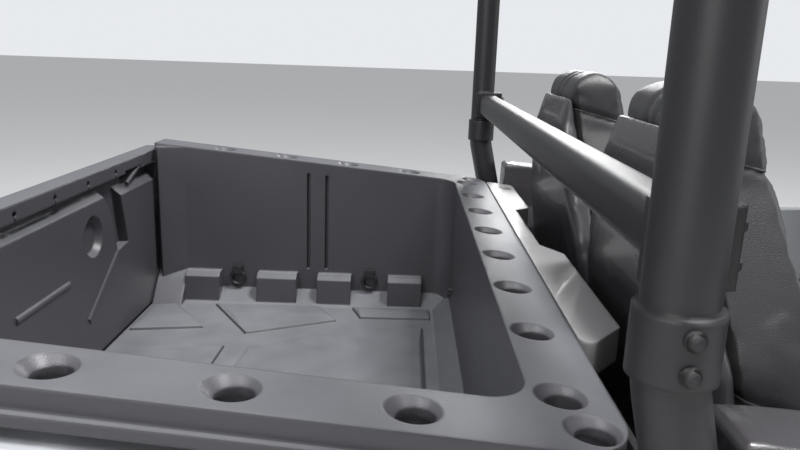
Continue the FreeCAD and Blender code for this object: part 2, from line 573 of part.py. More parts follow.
def make_frame():
    """Make the welded tube frame in three parts, and the skid plate under it."""
    radius, half, z = mm("frame_radius"), mm("frame_half"), mm("frame_height")
    nose, tail = mm("frame_nose"), -mm("frame_tail")
    front_x, hinge_x = mm("outrigger_front"), -mm("bed_hinge_back")
    spine = [rod((tail, side * half, z), (nose, side * half, z), radius) for side in (-1, 1)]
    for x in (tail + 2 * radius, -860, -260, 120, 760, nose - 2 * radius):
        spine.append(rod((x, -half, z), (x, half, z), THIN))
    for x, reach in ((FOOT_X, mm("post_half")), (front_x, mm("sill_half") - 34)):
        spine.append(rod((x, -reach - 20, z), (x, reach + 20, z), THIN))
        for side in (-1, 1):
            wide = sorted((side * (reach - 28), side * (reach + 28)))
            spine.append(block((x - 26, x + 26), wide, (z + THIN - 4, z + THIN + 4)))
    spine.append(rod((10, -mm("cab_half"), z), (10, mm("cab_half"), z), THIN))
    for x in AXLES.values():
        for side in (-1, 1):
            y = sorted((side * (half + radius - 12), side * (half + radius)))
            reach = mm("upper_spread") + 34
            plate = prism([(x - reach - 20, z), (x + reach + 20, z), (x + reach, z + 206), (x - reach, z + 206)],
                          "xz", y[0], y[1], 12)
            spine.append(plate.cut(Part.makeCylinder(44, 12, Vector(x, y[0], CASE_Z), Vector(0, 1, 0))))
    feature("frame", fuse(spine))
    under = z - radius - mm("skid_thick")
    skid = prism([(-1180, -half - 60), (1240, -half - 60), (1380, -half + 10), (1380, half - 10),
                  (1240, half + 60), (-1180, half + 60)], "xy", under, under + mm("skid_thick"), 20)
    feature("skid_plate", skid)
    rear = []
    for side in (-1, 1):
        rail_y = side * mm("bed_rail_half")
        rear.append(rod((POST_X, rail_y, BED_RAIL_Z), (hinge_x - 3, rail_y, BED_RAIL_Z), radius))
        for x in (POST_X - 25, -860, hinge_x + 3 * radius):
            rear.append(upright(x, side, mm("bed_rail_half"), BED_RAIL_Z))
    rear.append(rod((hinge_x, -mm("bed_rail_half") - 60, BED_RAIL_Z),
                    (hinge_x, mm("bed_rail_half") + 60, BED_RAIL_Z), THIN))
    rear.append(rod((-1235, -mm("bed_rail_half"), BED_RAIL_Z), (-1235, mm("bed_rail_half"), BED_RAIL_Z), THIN))
    reach = mm("post_half") - mm("cage_radius") + 10
    rear.append(rod((POST_X - 4, -reach, BED_RAIL_Z), (POST_X - 4, reach, BED_RAIL_Z), THIN))
    posts = [Part.makeCylinder(mm("cage_radius") + mm("running_gap"), 200,
                               Vector(FOOT_X, side * mm("post_half"), BED_RAIL_Z - 100)) for side in (-1, 1)]
    feature("rear_frame", fuse(rear).cut(Part.makeCompound(posts)))
    front = []
    for side in (-1, 1):
        top_y = side * mm("tower_half")
        for x in (720, 1290):
            front.append(upright(x, side, mm("tower_half"), tower_line(x)))
        front.append(tube([(front_x, side * 300, DASH_TUBE), (700, top_y, tower_line(700)),
                           (mm("nose") - 77, top_y, tower_line(mm("nose") - 77))], radius, 60))
    for x in (720, 1290):
        front.append(rod((x, -mm("tower_half"), tower_line(x)), (x, mm("tower_half"), tower_line(x)), THIN - 1))
    reach = mm("sill_half") - 34 - mm("cage_radius") - mm("running_gap")
    front.append(rod((front_x, -reach, DASH_TUBE), (front_x, reach, DASH_TUBE), THIN))
    feature("front_frame", fuse(front))


def make_cage():
    """Make the roll cage: a hoop on each side with the door's hinge brackets, and its cross bars."""
    radius, bend = mm("cage_radius"), mm("cage_bend")
    top, roof_y, post_y = mm("cage_top"), mm("cage_roof_half"), mm("post_half")
    front_x, foot_y = mm("outrigger_front"), mm("sill_half") - 34
    foot_z = mm("frame_height") + THIN + 4
    hoop = tube([(FOOT_X, post_y, foot_z), (FOOT_X, post_y, 1140), (POST_X, post_y, 1262),
                 (POST_X, post_y, 1640), (POST_X - 12, roof_y, top),
                 (mm("cage_roof_front"), roof_y, top), (front_x, foot_y, 1040),
                 (front_x, foot_y, foot_z)], radius, bend)
    pin_x = mm("door_front") + mm("door_pin_lead")
    brackets = [block((mm("door_front") + 4, pin_x + 8), (foot_y, DOOR_PIN_Y + 8),
                      (height - 34, height - mm("running_gap"))) for height in DOOR_PINS]
    bar_z, face = mm("cross_bar_height"), post_y - radius - mm("bracket_thick")
    brackets.append(Part.makeCylinder(radius + 5, 52, Vector(POST_X, post_y, 1268)))
    brackets.append(block((POST_X - 20, POST_X + 44), (face, post_y - 12), (bar_z - 32, bar_z + 32)))
    sided("cage", fuse([hoop] + brackets))
    roof = [rod((x, -roof_y + radius, top), (x, roof_y - radius, top), radius - 4)
            for x in (POST_X - 12 + bend, mm("cage_roof_front") - bend)]
    feature("roof_bars", Part.makeCompound(roof))
    bar = DOC.addObject("Part::Box", "bar_blank")
    bind(bar, {"Length": "46", "Width": sized("2 * (post_half - cage_radius - bracket_thick)"),
               "Height": "51", "Placement.Base.x": sized("post_set - hole_row - 11"),
               "Placement.Base.y": sized("cage_radius + bracket_thick - post_half"),
               "Placement.Base.z": sized("cross_bar_height - 25.5")})
    DOC.recompute()
    rounded = DOC.addObject("Part::Fillet", "cross_bar")
    rounded.Base = bar
    along = [i + 1 for i, e in enumerate(bar.Shape.Edges) if abs(e.tangentAt(e.FirstParameter).y) > 0.9]
    rounded.Edges = [(number, 14.0, 14.0) for number in along]
    keep(rounded, "cross_bar")


def make_tub():
    """Make the moulded bed: level ribbed floor, draughted walls and sloping rails with holes."""
    back, front = GATE_X + mm("tailgate_gap"), HOLE_X + mm("rail_front")
    half, wall, outer = mm("bed_half"), mm("wall_thick"), mm("rail_half")
    lip = mm("rail_thick")
    top = [(back, rail_height(back)), (front, rail_height(front))]
    rails = prism([(back, rail_height(back) - mm("band_drop")), (front, rail_height(front) - mm("band_drop")),
                   top[1], top[0]], "xz", -outer - mm("band_set"), outer + mm("band_set"))
    plan = outline([(back - 60, -outer), (front, -outer), (front, outer), (back - 60, outer)], "xy", 0, 60)
    wide = outline([(back - 70, -outer - 7), (front + 4, -outer - 7), (front + 4, outer + 7),
                    (back - 70, outer + 7)], "xy", 0, 66)
    keep_top = Part.Face(plan).extrude(Vector(0, 0, 2000))
    keep_band = Part.Face(wide).extrude(Vector(0, 0, 2000))
    upper = rails.common(keep_top)
    band_slab = prism([(back, rail_height(back) - mm("band_drop")), (front, rail_height(front) - mm("band_drop")),
                       (front, rail_height(front) - lip - 5), (back, rail_height(back) - lip - 5)],
                      "xz", -outer - mm("band_set"), outer + mm("band_set"))
    band = band_slab.common(keep_band)
    shell_x = WALL_X + wall
    shell = prism([(back, FLOOR_UNDER), (shell_x, FLOOR_UNDER), (shell_x, rail_height(shell_x) - 4),
                   (back, rail_height(back) - 4)], "xz", -half - wall, half + wall)
    tub = fuse([upper, band, shell])
    cavity = Part.Face(outline([(back - 200, -half), (WALL_X, -half), (WALL_X, half), (back - 200, half)],
                               "xy", FLOOR_Z, mm("corner_radius"))).extrude(Vector(0, 0, 900))
    tub = tub.cut(cavity)
    under = prism([(back - 1, rail_height(back) - lip), (front + 1, rail_height(front) - lip),
                   (front + 1, rail_height(front) - 60), (back - 1, rail_height(back) - 60)], "xz",
                  half + wall, outer - 8)
    holes = []
    for step in range(8):
        spot = Vector(HOLE_X, (step - 3.5) * mm("hole_pitch"), rail_height(HOLE_X))
        holes.append(spot)
    for side in (-1, 1):
        for step in range(5):
            x = HOLE_X + mm("side_hole_lead") - step * mm("side_pitch")
            holes.append(Vector(x, side * mm("side_hole_half"), rail_height(x)))
    tools = [under, mirrored(under)]
    dish = mm("hole_dish")
    for spot in holes:
        tools.append(Part.makeCylinder(mm("hole_radius"), 90, spot - Vector(0, 0, 60)))
        tools.append(Part.makeCone(mm("hole_radius"), mm("hole_radius") + 2 * dish, 2 * dish,
                                   spot - Vector(0, 0, dish)))
    tub = tub.cut(Part.makeCompound(tools))
    toes = []
    span = WALL_X - back
    for start, stop in ((0.098, 0.215), (0.342, 0.477), (0.548, 0.663), (0.789, 0.904)):
        x = (back + start * span, back + stop * span)
        toe = prism([(half, FLOOR_Z), (half - mm("toe_depth") - 8, FLOOR_Z), (half - mm("toe_depth"), FLOOR_Z
                    + mm("toe_height") - 10), (half - mm("toe_depth") + 12, FLOOR_Z + mm("toe_height")),
                     (half, FLOOR_Z + mm("toe_height"))], "yz", x[0], x[1])
        toes += [toe, mirrored(toe)]
    post = prism([(back + 1, half), (back + 14, half - 24), (back + 74, half)], "xy", FLOOR_Z, rail_height(back) - 8)
    foot = prism([(half, FLOOR_Z), (half - 76, FLOOR_Z), (half - 24, FLOOR_Z + 56), (half, FLOOR_Z + 74)], "yz",
                 back + 1, back + 74)
    cove = prism([(half, FLOOR_Z), (half - 46, FLOOR_Z), (half, FLOOR_Z + 28)], "yz", back + 1, WALL_X)
    toes += [post, mirrored(post), foot, mirrored(foot), cove, mirrored(cove)]
    toes.append(prism([(WALL_X, FLOOR_Z), (WALL_X - 42, FLOOR_Z), (WALL_X, FLOOR_Z + 28)], "xz", -half, half))
    for outer_edge, crease in FLOOR_PLATES:
        middle = [sum(values) / len(outer_edge) for values in zip(*outer_edge)]
        inset = [(middle[0] + 0.975 * (x - middle[0]), middle[1] + 0.975 * (y - middle[1])) for x, y in outer_edge]
        levels = ((outer_edge, FLOOR_Z - 1), (inset, FLOOR_Z + mm("plate_step")), (crease, FLOOR_Z + mm("plate_top")))
        plate = Part.makeLoft([outline(points, "xy", level) for points, level in levels], True, True)
        toes.append(plate)
        if min(y for _, y in outer_edge) > 0:
            toes.append(mirrored(plate))
    lugs = []
    for y in (-150, 150):
        ear = prism([(-mm("bed_hinge_back") - 40, FLOOR_UNDER), (-mm("bed_hinge_back") - 40, BED_RAIL_Z - 30),
                     (-mm("bed_hinge_back") + 40, BED_RAIL_Z - 30), (-mm("bed_hinge_back") + 60, FLOOR_UNDER)],
                    "xz", y - 8, y + 8, 8)
        eye = Part.makeCylinder(THIN + mm("running_gap"), 60,
                                Vector(-mm("bed_hinge_back"), y - 30, BED_RAIL_Z), Vector(0, 1, 0))
        lugs.append(ear.cut(eye))
    for y in GATE_HINGES:
        for side in (-1, 1):
            low = sorted((y + side * (45 + mm("running_gap")), y + side * 60))
            lugs.append(block((GATE_PIN[0] - 8, back + 14), low, (GATE_PIN[1] - 8, GATE_PIN[1] + 8)))
            lugs.append(block((back + 1, back + 14), low, (GATE_PIN[1], FLOOR_UNDER + 4)))
    tub = fuse([tub] + toes + lugs)
    grooves = []
    for x in (WALL_X - 318, WALL_X - 318 - mm("channel_width")):
        grooves.append(block((x - 4, x + 4), (half - 2, half + mm("channel_depth")),
                             (FLOOR_Z + mm("toe_height") + 10, rail_height(x) - 30)))
    grooves += [mirrored(g) for g in grooves]
    feature("bed_tub", tub.cut(Part.makeCompound(grooves)))


def make_tailgate():
    """Make the tailgate: a stepped lower panel with cup recesses under a square-edged cap."""
    low, high, half = FLOOR_UNDER + 6, TAILGATE_TOP, mm("rail_half") - 3
    skin = GATE_BACK + mm("tailgate_skin")
    plate = block((GATE_BACK, skin), (-half, half), (low, high))
    cap = block((GATE_BACK, GATE_X), (-half, half), (high - 30, high))
    y_in, foot = mm("bed_half") - 6, FLOOR_Z + 2
    half_view = ((y_in, foot, foot), (y_in, high - 54, high - 72), (360, high - 54, high - 72),
                 (388, high - 184, high - 184), (326, high - 191, high - 191), (302, high - 98, high - 98),
                 (270, high - 42, high - 58), (103, high - 42, high - 58), (87, high - 50, high - 58))
    section = []                            # y, then the height at the skin and at the inner face
    for side in (1, -1):
        section += [(side * y, skin_z, face_z) for y, skin_z, face_z in half_view[::side]]
    panel = Part.makeLoft([outline([(y, z) for y, z, _ in section], "yz", skin),
                           outline([(y, z) for y, _, z in section], "yz", GATE_X)], True, True)
    stiles = [block((GATE_BACK, GATE_X - 1), sorted((side * (mm("bed_half") + 6), side * half)), (low, high))
              for side in (-1, 1)]
    tools, bars = [], []
    x = GATE_X - 5
    for side in (-1, 1):
        tools.append(Part.makeCone(mm("cup_radius") - 8, mm("cup_radius"), 14, Vector(GATE_X - 14, side
                     * mm("cup_offset"), high - 128), Vector(1, 0, 0)))
        tools.append(prism([(side * 392, high - 24), (side * 512, high - 24), (side * 415, high - 52)],
                           "yz", GATE_BACK + 8, GATE_X + 1))
        bars.append(rod((x, side * 408, high - 54), (x, side * 505, high - 20), 4.5))
        bars.append(rod((x + 1, side * 163, high - 292), (x + 1, side * 326, high - 191), 8))
    bars.append(rod((x + 1, -95, high - 191), (x + 1, 95, high - 191), 8))
    for step in range(6):
        y = (step - 2.5) * 136.5
        tools.append(Part.makeCylinder(6, 60, Vector(GATE_BACK - 5, y, high - 18), Vector(1, 0, 0)))
        tools.append(block((GATE_X - 8, GATE_X + 1), (y - 2.5, y + 2.5), (high - 32, high - 18)))
    gate = fuse([plate, cap, panel] + stiles).cut(Part.makeCompound(tools))
    hinge = []
    for y in GATE_HINGES:
        hinge.append(Part.makeCylinder(10, 90, Vector(GATE_PIN[0], y - 45, GATE_PIN[1]), Vector(0, 1, 0)))
        hinge.append(block((GATE_BACK, GATE_PIN[0] + 8), (y - 45, y + 45), (GATE_PIN[1], low + 4)))
    feature("tailgate", fuse([gate] + bars + hinge))


def make_bed_trim():
    """Make the painted panels outside the bed, the tail lamps and the tie-down rings."""
    half, t = mm("rail_half"), mm("panel_wall")
    back, front = GATE_X + 6, POST_X - mm("cage_radius") - 12
    drop, low = mm("band_drop") + 14, FLOOR_UNDER + 6
    top_back, top_front = rail_height(back) - drop, rail_height(front) - drop
    tuck = mm("bed_half") + mm("wall_thick")
    side_view = [(back, low), (front, low), (front, top_front), (back, top_back)]
    end_view = [(tuck, low), (half + 74, low), (half + 86, low + 70), (half + 58, top_front - 60),
                (half + 4, top_back), (tuck, top_back + 8)]
    outer = prism(side_view, "xz", tuck, half + 100).common(prism(end_view, "yz", back - 10, front + 10))
    end_in = [(tuck - 1, low - 1), (half + 74 - t, low - 1), (half + 86 - t, low + 70), (half + 58 - t, top_front - 62),
              (half + 2 - t, top_back - t), (tuck - 1, top_back)]
    hollow = prism(end_in, "yz", back + t, front - t)
    below = prism([(back, low - 2), (front, low - 2), (front, top_front - t), (back, top_back - t)],
                  "xz", tuck - 1, half + 100)
    panel = outer.cut(hollow.common(below))
    sided("bed_side", panel)
    lamp = block((GATE_X - 40, GATE_X + 6 - mm("running_gap")), (half + 8, half + 62), (low + 60, low + 230))
    lamp = lamp.makeFillet(8, [e for e in lamp.Edges if abs(e.tangentAt(e.FirstParameter).x) > 0.9])
    feature("tail_lamps", both_sides(lamp))
    rings = []
    back_in, span = GATE_X + mm("tailgate_gap"), WALL_X - GATE_X - mm("tailgate_gap")
    for share in (0.271, 0.725):
        x, y, z = back_in + share * span, mm("bed_half") - 8, FLOOR_Z + 56
        wire = [(x + 17 + 4 * math.cos(turn), y + 4 * math.sin(turn))
                for turn in (math.radians(60 * step) for step in range(6))]
        ring = Part.Face(outline(wire, "xy", z)).revolve(Vector(x, y, z), Vector(0, 1, 0), 360)
        clip = block((x - 12, x + 12), (mm("bed_half") - 13, mm("bed_half")), (z + 12, z + 32))
        rings.append(fuse([ring, clip]))
    feature("tie_down_rings", Part.makeCompound(rings + [mirrored(r) for r in rings]))


def make_cab():
    """Make the cab: floor with sills, seat base, bulkhead, cover strip, dash and quarter panels."""
    z, t = CAB_FLOOR, mm("panel_wall") + 2
    front_x, cab, gap = mm("outrigger_front"), mm("cab_half"), mm("running_gap")
    wall_back = POST_X + 32
    tunnel_out = [(-150, z), (-128, z + 178), (128, z + 178), (150, z)]
    tunnel_in = [(-142, z - 1), (-121, z + 170), (121, z + 170), (142, z - 1)]
    floor = block((wall_back + t, front_x + 18), (-cab, cab), (z, z + t))
    toe = prism([(front_x + 10, z), (front_x + 18, z), (front_x + 56, 826), (front_x + 48, 826)], "xz", -cab, cab)
    tunnel = prism(tunnel_out, "yz", wall_back + t, front_x + 30)
    sill = prism([(cab - 20, z), (mm("sill_half"), z + 20), (mm("sill_half"), mm("sill_top") - 20),
                  (mm("sill_half") - 26, mm("sill_top")), (cab - 20, mm("sill_top"))], "yz",
                 -mm("door_rear") - 8, front_x - 28, 10)
    cab_floor = fuse([floor, toe, tunnel, sill, mirrored(sill)])
    feature("cab_floor", cab_floor.cut(prism(tunnel_in, "yz", wall_back - 5, front_x + 80)))
    base = prism([(POST_X + 70, z + t), (60, z + t), (96, z + t + 30), (70, mm("seat_base_top")),
                  (POST_X + 110, mm("seat_base_top"))], "xz", -cab + 20, cab - 20, 24)
    console = prism([(50, z + 179), (330, z + 179), (240, 688), (50, 704)], "xz", -110, 110, 24)
    seat_base = fuse([base, console]).cut(prism([(y * 1.004, v + (gap if v > z else -2)) for y, v in tunnel_out],
                                                "yz", POST_X, 200))
    feature("seat_base", seat_base)
    strip_depth = 44
    wall_top = rail_height(wall_back + t) - strip_depth - gap
    bulkhead = block((wall_back, wall_back + t), (-cab, cab), (mm("frame_height") + 26, wall_top))
    feature("bulkhead", bulkhead.cut(Part.makeCylinder(34, 60, Vector(wall_back - 20, 0, CASE_Z), Vector(1, 0, 0))))
    x_back, x_front = HOLE_X + mm("rail_front") + 3, HOLE_X + 116
    strip = prism([(x_back, rail_height(x_back) - strip_depth), (x_front, rail_height(x_front) - strip_depth),
                   (x_front, rail_height(x_front)), (x_back, rail_height(x_back))], "xz", -620, 620)
    plan = outline([(x_back, -437), (x_front, -350), (x_front, -22), (x_front - 34, 20), (x_front - 34, 300),
                    (x_front, 338), (x_front, 604), (x_back, 616)], "xy", 900, 12)
    strip = strip.common(Part.Face(plan).extrude(Vector(0, 0, 600)))
    feature("cover_strip", strip.cut(Part.makeCylinder(14, 200, Vector(HOLE_X + 92, 552, 1080))))
    low = DASH_TUBE + THIN + gap
    dash_out = [(DASH_FRONT, 1128), (front_x - 20, 1150), (front_x - 96, 1070), (front_x - 64, 968),
                (front_x - 30, low), (DASH_FRONT, low)]
    dash_in = [(DASH_FRONT - t, 1121), (front_x - 17, 1141), (front_x - 87, 1069), (front_x - 57, 973),
               (front_x - 25, low + t), (DASH_FRONT - t, low + t)]
    dash = prism(dash_out, "xz", -cab, cab, 14).cut(prism(dash_in, "xz", -cab + t, cab - t, 8))
    centre, axis = steering_line()
    notch = block((front_x - 30, DASH_FRONT + 1), (218, 342), (low - 1, low + 28))
    holes = [Part.makeCylinder(20 + gap, 500, centre, axis), notch, mirrored(notch)]
    feature("dash", dash.cut(Part.makeCompound(holes)))
    door_edge = -mm("door_rear") - 8
    quarter = prism([(QUARTER_X, mm("frame_height") + 30), (door_edge, mm("frame_height") + 30),
                     (door_edge, 1128), (door_edge + 68, 1150), (door_edge + 68, 1196), (QUARTER_X, 1216)],
                    "xz", cab, mm("post_half") + 50, 10)
    shape = prism([(cab, 380), (mm("sill_half"), 380), (mm("post_half") + 44, 700), (mm("post_half") + 44, 1040),
                   (mm("post_half") + 6, 1216), (cab + 34, 1216), (cab + 22, 1110), (cab, 1060)], "yz",
                  POST_X, 0, 14)
    sided("quarter_panel", quarter.common(shape))


def make_seats():
    """Make the two bucket seats: bolstered cushion and a back with rounded shoulders."""
    half, base = mm("seat_width") / 2, mm("seat_base_top")
    cushion = prism([(-330, base), (90, base), (112, base + 60), (96, base + 128), (40, base + 140),
                     (-330, base + 96)], "xz", -half, half, 30)
    back_side = [(-372, base + 20), (-468, 1330), (-440, 1462), (-396, 1484), (-356, 1462), (-318, 1290),
                 (-214, base + 150), (-240, base + 60)]
    back = prism(back_side, "xz", -half, half, 26)
    edge = [(half, base), (half, 1040), (half - 22, 1180), (half - 84, 1290), (half - 130, 1370), (half - 144, 1452),
            (half - 172, 1486)]
    front_view = edge + [(-y, z) for y, z in reversed(edge)]
    back = back.common(prism(front_view, "yz", -500, 0, 40))
    scoop = prism([(-330, 1310), (-268, base + 140), (-150, base + 140), (-150, 1310)], "xz",
                  -half + 96, half - 96, 20)
    dip = prism([(-230, base + 112), (60, base + 128), (60, base + 200), (-230, base + 200)], "xz",
                -half + 90, half - 90, 16)
    seat = fuse([cushion, back]).cut(Part.makeCompound([scoop, dip]))
    for name, side in (("left", 1), ("right", -1)):
        moved = seat.copy()
        moved.translate(Vector(0, side * mm("seat_offset"), 0))
        feature(f"seat_{name}", moved)


def steering_line():
    """Return the middle of the steering wheel and the way its column points."""
    tilt = math.radians(mm("steering_angle"))
    centre = Vector(mm("steering_reach"), mm("seat_offset"), mm("steering_height"))
    return centre, Vector(math.cos(tilt), 0, -math.sin(tilt))


def make_steering():
    """Make the steering column and the three-spoke wheel on its end."""
    centre, axis = steering_line()
    start = centre + axis * (24 + mm("running_gap"))
    column = Part.makeCylinder(20, (mm("outrigger_front") - 6 - start.x) / axis.x, start, axis)
    cross = rod((mm("outrigger_front"), 100, DASH_TUBE), (mm("outrigger_front"), 500, DASH_TUBE),
                THIN + mm("running_gap"))
    column = column.cut(cross)
    feature("steering_column", max(column.Solids, key=lambda s: s.Volume))
    ring = Part.makeTorus(mm("steering_radius"), mm("steering_grip"))
    hub = Part.makeCylinder(46, 30, Vector(0, 0, -6))
    spokes = []
    for turn in (0, 125, -125):
        spoke = block((0, mm("steering_radius")), (-15, 15), (-6, 6))
        spoke.rotate(Vector(0, 0, 0), Vector(0, 0, 1), turn)
        spokes.append(spoke)
    wheel = fuse([ring, hub] + spokes)
    wheel.Placement = Placement(centre, Rotation(Vector(0, 0, 1), axis))
    feature("steering_wheel", wheel)


def make_front_body():
    """Make the hood, fenders, grille, lamps and bumper."""
    t, hood, gap = mm("panel_wall"), mm("hood_half"), mm("running_gap")
    nose, rear = mm("nose"), DASH_FRONT + mm("running_gap")
    edge = hood - gap
    rows = ((rear, edge, 1062, 1128), (1010, edge - 4, 1008, 1084), (1250, edge - 30, 956, 1022),
            (nose - 60, edge - 40, 918, 962), (nose - 34, edge - 84, 902, 930))   # x, half width, shoulder, crest

    def cut(x, wide, shoulder, crest, inset, low):
        """Return one cross-section of the hood, drawn in by a wall's thickness."""
        side = [(wide - inset, low), (wide - inset, shoulder - inset), (wide - 60, crest - 10 - inset),
                (0.42 * wide, crest - inset)]
        return outline(side + [(-y, z) for y, z in reversed(side)], "yz", x)

    outer = Part.makeLoft([cut(*row, 0, 890) for row in rows], True, True)
    ends = [(rows[0][0] - 2, *rows[0][1:])] + list(rows[1:-1]) + [(rows[-1][0] - 5, *rows[-1][1:])]
    inner = Part.makeLoft([cut(*row, t, 880) for row in ends], True, True)
    feature("hood", outer.cut(inner))
    arch_x, arch_z, arch = AXLES["front"], mm("tyre_radius"), mm("arch_radius")
    back, wide, face = DASH_FRONT + 6, mm("fender_half"), nose + 10

    def wing(t, low):
        """Return the solid of a fender's outside, drawn in by a wall's thickness."""
        side = [(back + t, 520 - low), (back + 30, 470 - low), (860, 470 - low), (face + 50, 700 - low),
                (face + 6 - t, 790 - t), (nose - 30 - t, 896 - t), (nose - 90, 926 - t), (1180, 996 - t),
                (860, 1056 - t), (back + t, 1076 - t)]
        plan = [(back + t, hood + t), (face - t, hood + t), (face - t, hood + 90), (face - 56 - t, wide - 130),
                (face - 190, wide - t), (820, wide - t), (back + t, wide - 64 - t)]
        end = [(hood + t, 0), (wide - t, 0), (wide - t, 884), (wide - 24 - t / 2, 926 - t), (wide - 120, 972 - t),
               (hood + 110, 1026 - t), (hood + t, 1058 - t)]
        shape = prism(side, "xz", hood, wide, 16).common(prism(plan, "xy", 0, 1200, 40))
        return shape.common(prism(end, "yz", 500, 1600, 12))

    rings = [Part.makeCylinder(arch + step, 600, Vector(arch_x, hood - 100, arch_z), Vector(0, 1, 0))
             for step in (0, 8)]
    outside = wing(0, 0).cut(rings[0])
    sided("front_fender", outside.cut(wing(t, 500).cut(rings[1])))
    window = prism([(hood + 26, 806), (hood + 150, 800), (hood + 264, 822), (hood + 246, 866), (hood + 26, 876)],
                   "yz", 1200, 1600, 14)
    lamp = outside.translated(Vector(14, 0, 0)).cut(outside.translated(Vector(gap, 0, 0))).common(window)
    grille = prism([(nose - 60, 560), (nose, 600), (nose, 780), (nose - 40, 884), (nose - 94, 884),
                    (nose - 70, 760), (nose - 96, 560)], "xz", -hood + 30, hood - 30, 12)
    slots = [block((nose - 200, nose + 50), (-hood + 90, hood - 90), (610 + 42 * step, 632 + 42 * step))
             for step in range(6)]
    feature("grille", grille.cut(Part.makeCompound(slots)))
    feature("headlamps", both_sides(lamp))
    bumper_z, radius, far = 520, mm("bumper_radius"), mm("bumper_front") - mm("bumper_radius")
    rail_y, rail_x, rail_z = mm("frame_half"), mm("frame_nose") + gap, mm("frame_height")
    hoop = tube([(rail_x, -rail_y, rail_z), (rail_x + 40, -rail_y, rail_z), (far, -230, bumper_z), (far, -230, 700),
                 (far, 230, 700), (far, 230, bumper_z), (rail_x + 40, rail_y, rail_z), (rail_x, rail_y, rail_z)],
                radius, 60)
    bar = rod((far, -230, bumper_z + 20), (far, 230, bumper_z + 20), radius - 4)
    feature("front_bumper", fuse([hoop, bar]))


def make_rear_fenders():
    """Make the black arches over the rear wheels, each with its leg to the quarter panel."""
    x, z, arch = AXLES["rear"], mm("tyre_radius"), 432
    inner, outer = 646, mm("fender_half")
    ring = Part.makeCylinder(arch + 8, outer - inner, Vector(x, inner, z), Vector(0, 1, 0)).cut(
        Part.makeCylinder(arch, outer - inner + 2, Vector(x, inner - 1, z), Vector(0, 1, 0)))
    wedge = prism([(x, z), (QUARTER_X, z + 60), (QUARTER_X, z + 600), (-1600, z + 600), (-1600, z + 110)],
                  "xz", inner - 1, outer + 1)
    leg = block((x + arch - 30, QUARTER_X), (inner, 700), (z + 110, z + 180))
    leg = leg.cut(Part.makeCylinder(arch + 1, 400, Vector(x, inner - 100, z), Vector(0, 1, 0)))
    post = Part.makeCylinder(mm("cage_radius") + mm("running_gap"), 830, Vector(FOOT_X, mm("post_half"), 300))
    sided("rear_fender", fuse([ring.common(wedge), leg]).cut(post))


def make_doors():
    """Make the two half doors, each with hinge barrels ahead of its front edge."""
    y, t = mm("door_half"), mm("door_thick")
    front, rear = mm("door_front"), -mm("door_rear")
    low, high = mm("door_bottom"), mm("door_top")
    points = [(front - 70, low), (rear + 60, low), (rear, low + 120), (rear, high + 6), (rear + 240, high - 26),
              (front - 60, high), (front, high - 60), (front, low + 60)]
    door = prism(points, "xz", y - t / 2, y + t / 2, 26)
    pin_x, radius = front + mm("door_pin_lead"), mm("door_pin_radius")
    hinges = []
    for height in DOOR_PINS:
        hinges.append(Part.makeCylinder(radius, 60, Vector(pin_x, DOOR_PIN_Y, height)))
        hinges.append(block((front - 20, pin_x), (DOOR_PIN_Y - 4, DOOR_PIN_Y + 8), (height, height + 60)))
    recess = prism([(front - 92, low + 90), (rear + 70, low + 90), (rear + 60, high - 150), (front - 78, high - 190)],
                   "xz", y + t / 2 - 8, y + t / 2 + 1, 30)
    sided("door", fuse([door] + hinges).cut(recess))


def make_hitch():
    """Make the square hitch receiver with its cross-pin hole."""
    size, bore = "receiver_size", "receiver_bore"
    base = "(frame_height + frame_radius - weld_step + running_gap)"
    shell = DOC.addObject("Part::Box", "receiver_shell")
    bind(shell, {"Length": sized("receiver_out + 60"), "Width": sized(size), "Height": sized(size),
                 "Placement.Base.x": sized("-frame_tail - receiver_out"),
                 "Placement.Base.y": sized(f"-{size} / 2"),
                 "Placement.Base.z": sized(base)})
    hollow = DOC.addObject("Part::Box", "receiver_hollow")
    bind(hollow, {"Length": sized("receiver_out + 30"), "Width": sized(bore), "Height": sized(bore),
                  "Placement.Base.x": sized("-frame_tail - receiver_out - 1"),
                  "Placement.Base.y": sized(f"-{bore} / 2"),
                  "Placement.Base.z": sized(f"{base} + ({size} - {bore}) / 2")})
    pin = DOC.addObject("Part::Cylinder", "receiver_pin")
    pin.Placement = Placement(Vector(), Rotation(Vector(1, 0, 0), -90))
    bind(pin, {"Radius": sized("receiver_pin_radius"), "Height": sized(f"2 * {size}"),
               "Placement.Base.x": sized("-frame_tail - receiver_out + 70"), "Placement.Base.y": sized(f"-{size}"),
               "Placement.Base.z": sized(f"{base} + {size} / 2")})
    opened = DOC.addObject("Part::Cut", "receiver_opened")
    opened.Base, opened.Tool = shell, hollow
    receiver = DOC.addObject("Part::Cut", "hitch_receiver")
    receiver.Base, receiver.Tool = opened, pin
    keep(receiver, "hitch_receiver")


def check_and_write():
    """Recompute, check every object and sub-part, and write one file for each sub-part."""
    DOC.recompute()
    for obj in DOC.Objects:
        if {"Invalid", "Error"} & set(obj.State):
            raise RuntimeError(f"{obj.Name} failed: {obj.State}")
    os.makedirs("parts", exist_ok=True)
    for obj in NODES:
        shape = obj.Shape
        if shape.isNull() or not shape.isValid() or not shape.Solids:
            raise RuntimeError(f"{obj.Label} has no valid solid")
        shape.exportStep(os.path.join("parts", obj.Label + ".step"))
        print(f"{obj.Label}: {len(shape.Solids)} solids, {shape.Volume / 1000:.0f} cm3")
    print(len(NODES), "sub-parts")


make_wheels()
make_tyres()
make_axle_ends()
make_suspension()
make_drive_line()
make_frame()
make_cage()
make_tub()
make_tailgate()
make_bed_trim()
make_cab()
make_seats()
make_steering()
make_front_body()
make_rear_fenders()
make_doors()
make_hitch()
check_and_write()
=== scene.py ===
"""Looks of a side-by-side utility vehicle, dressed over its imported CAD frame.

Everything is in metres in the vehicle's own frame: +X forward, +Y to the driver's left, +Z up.
"""

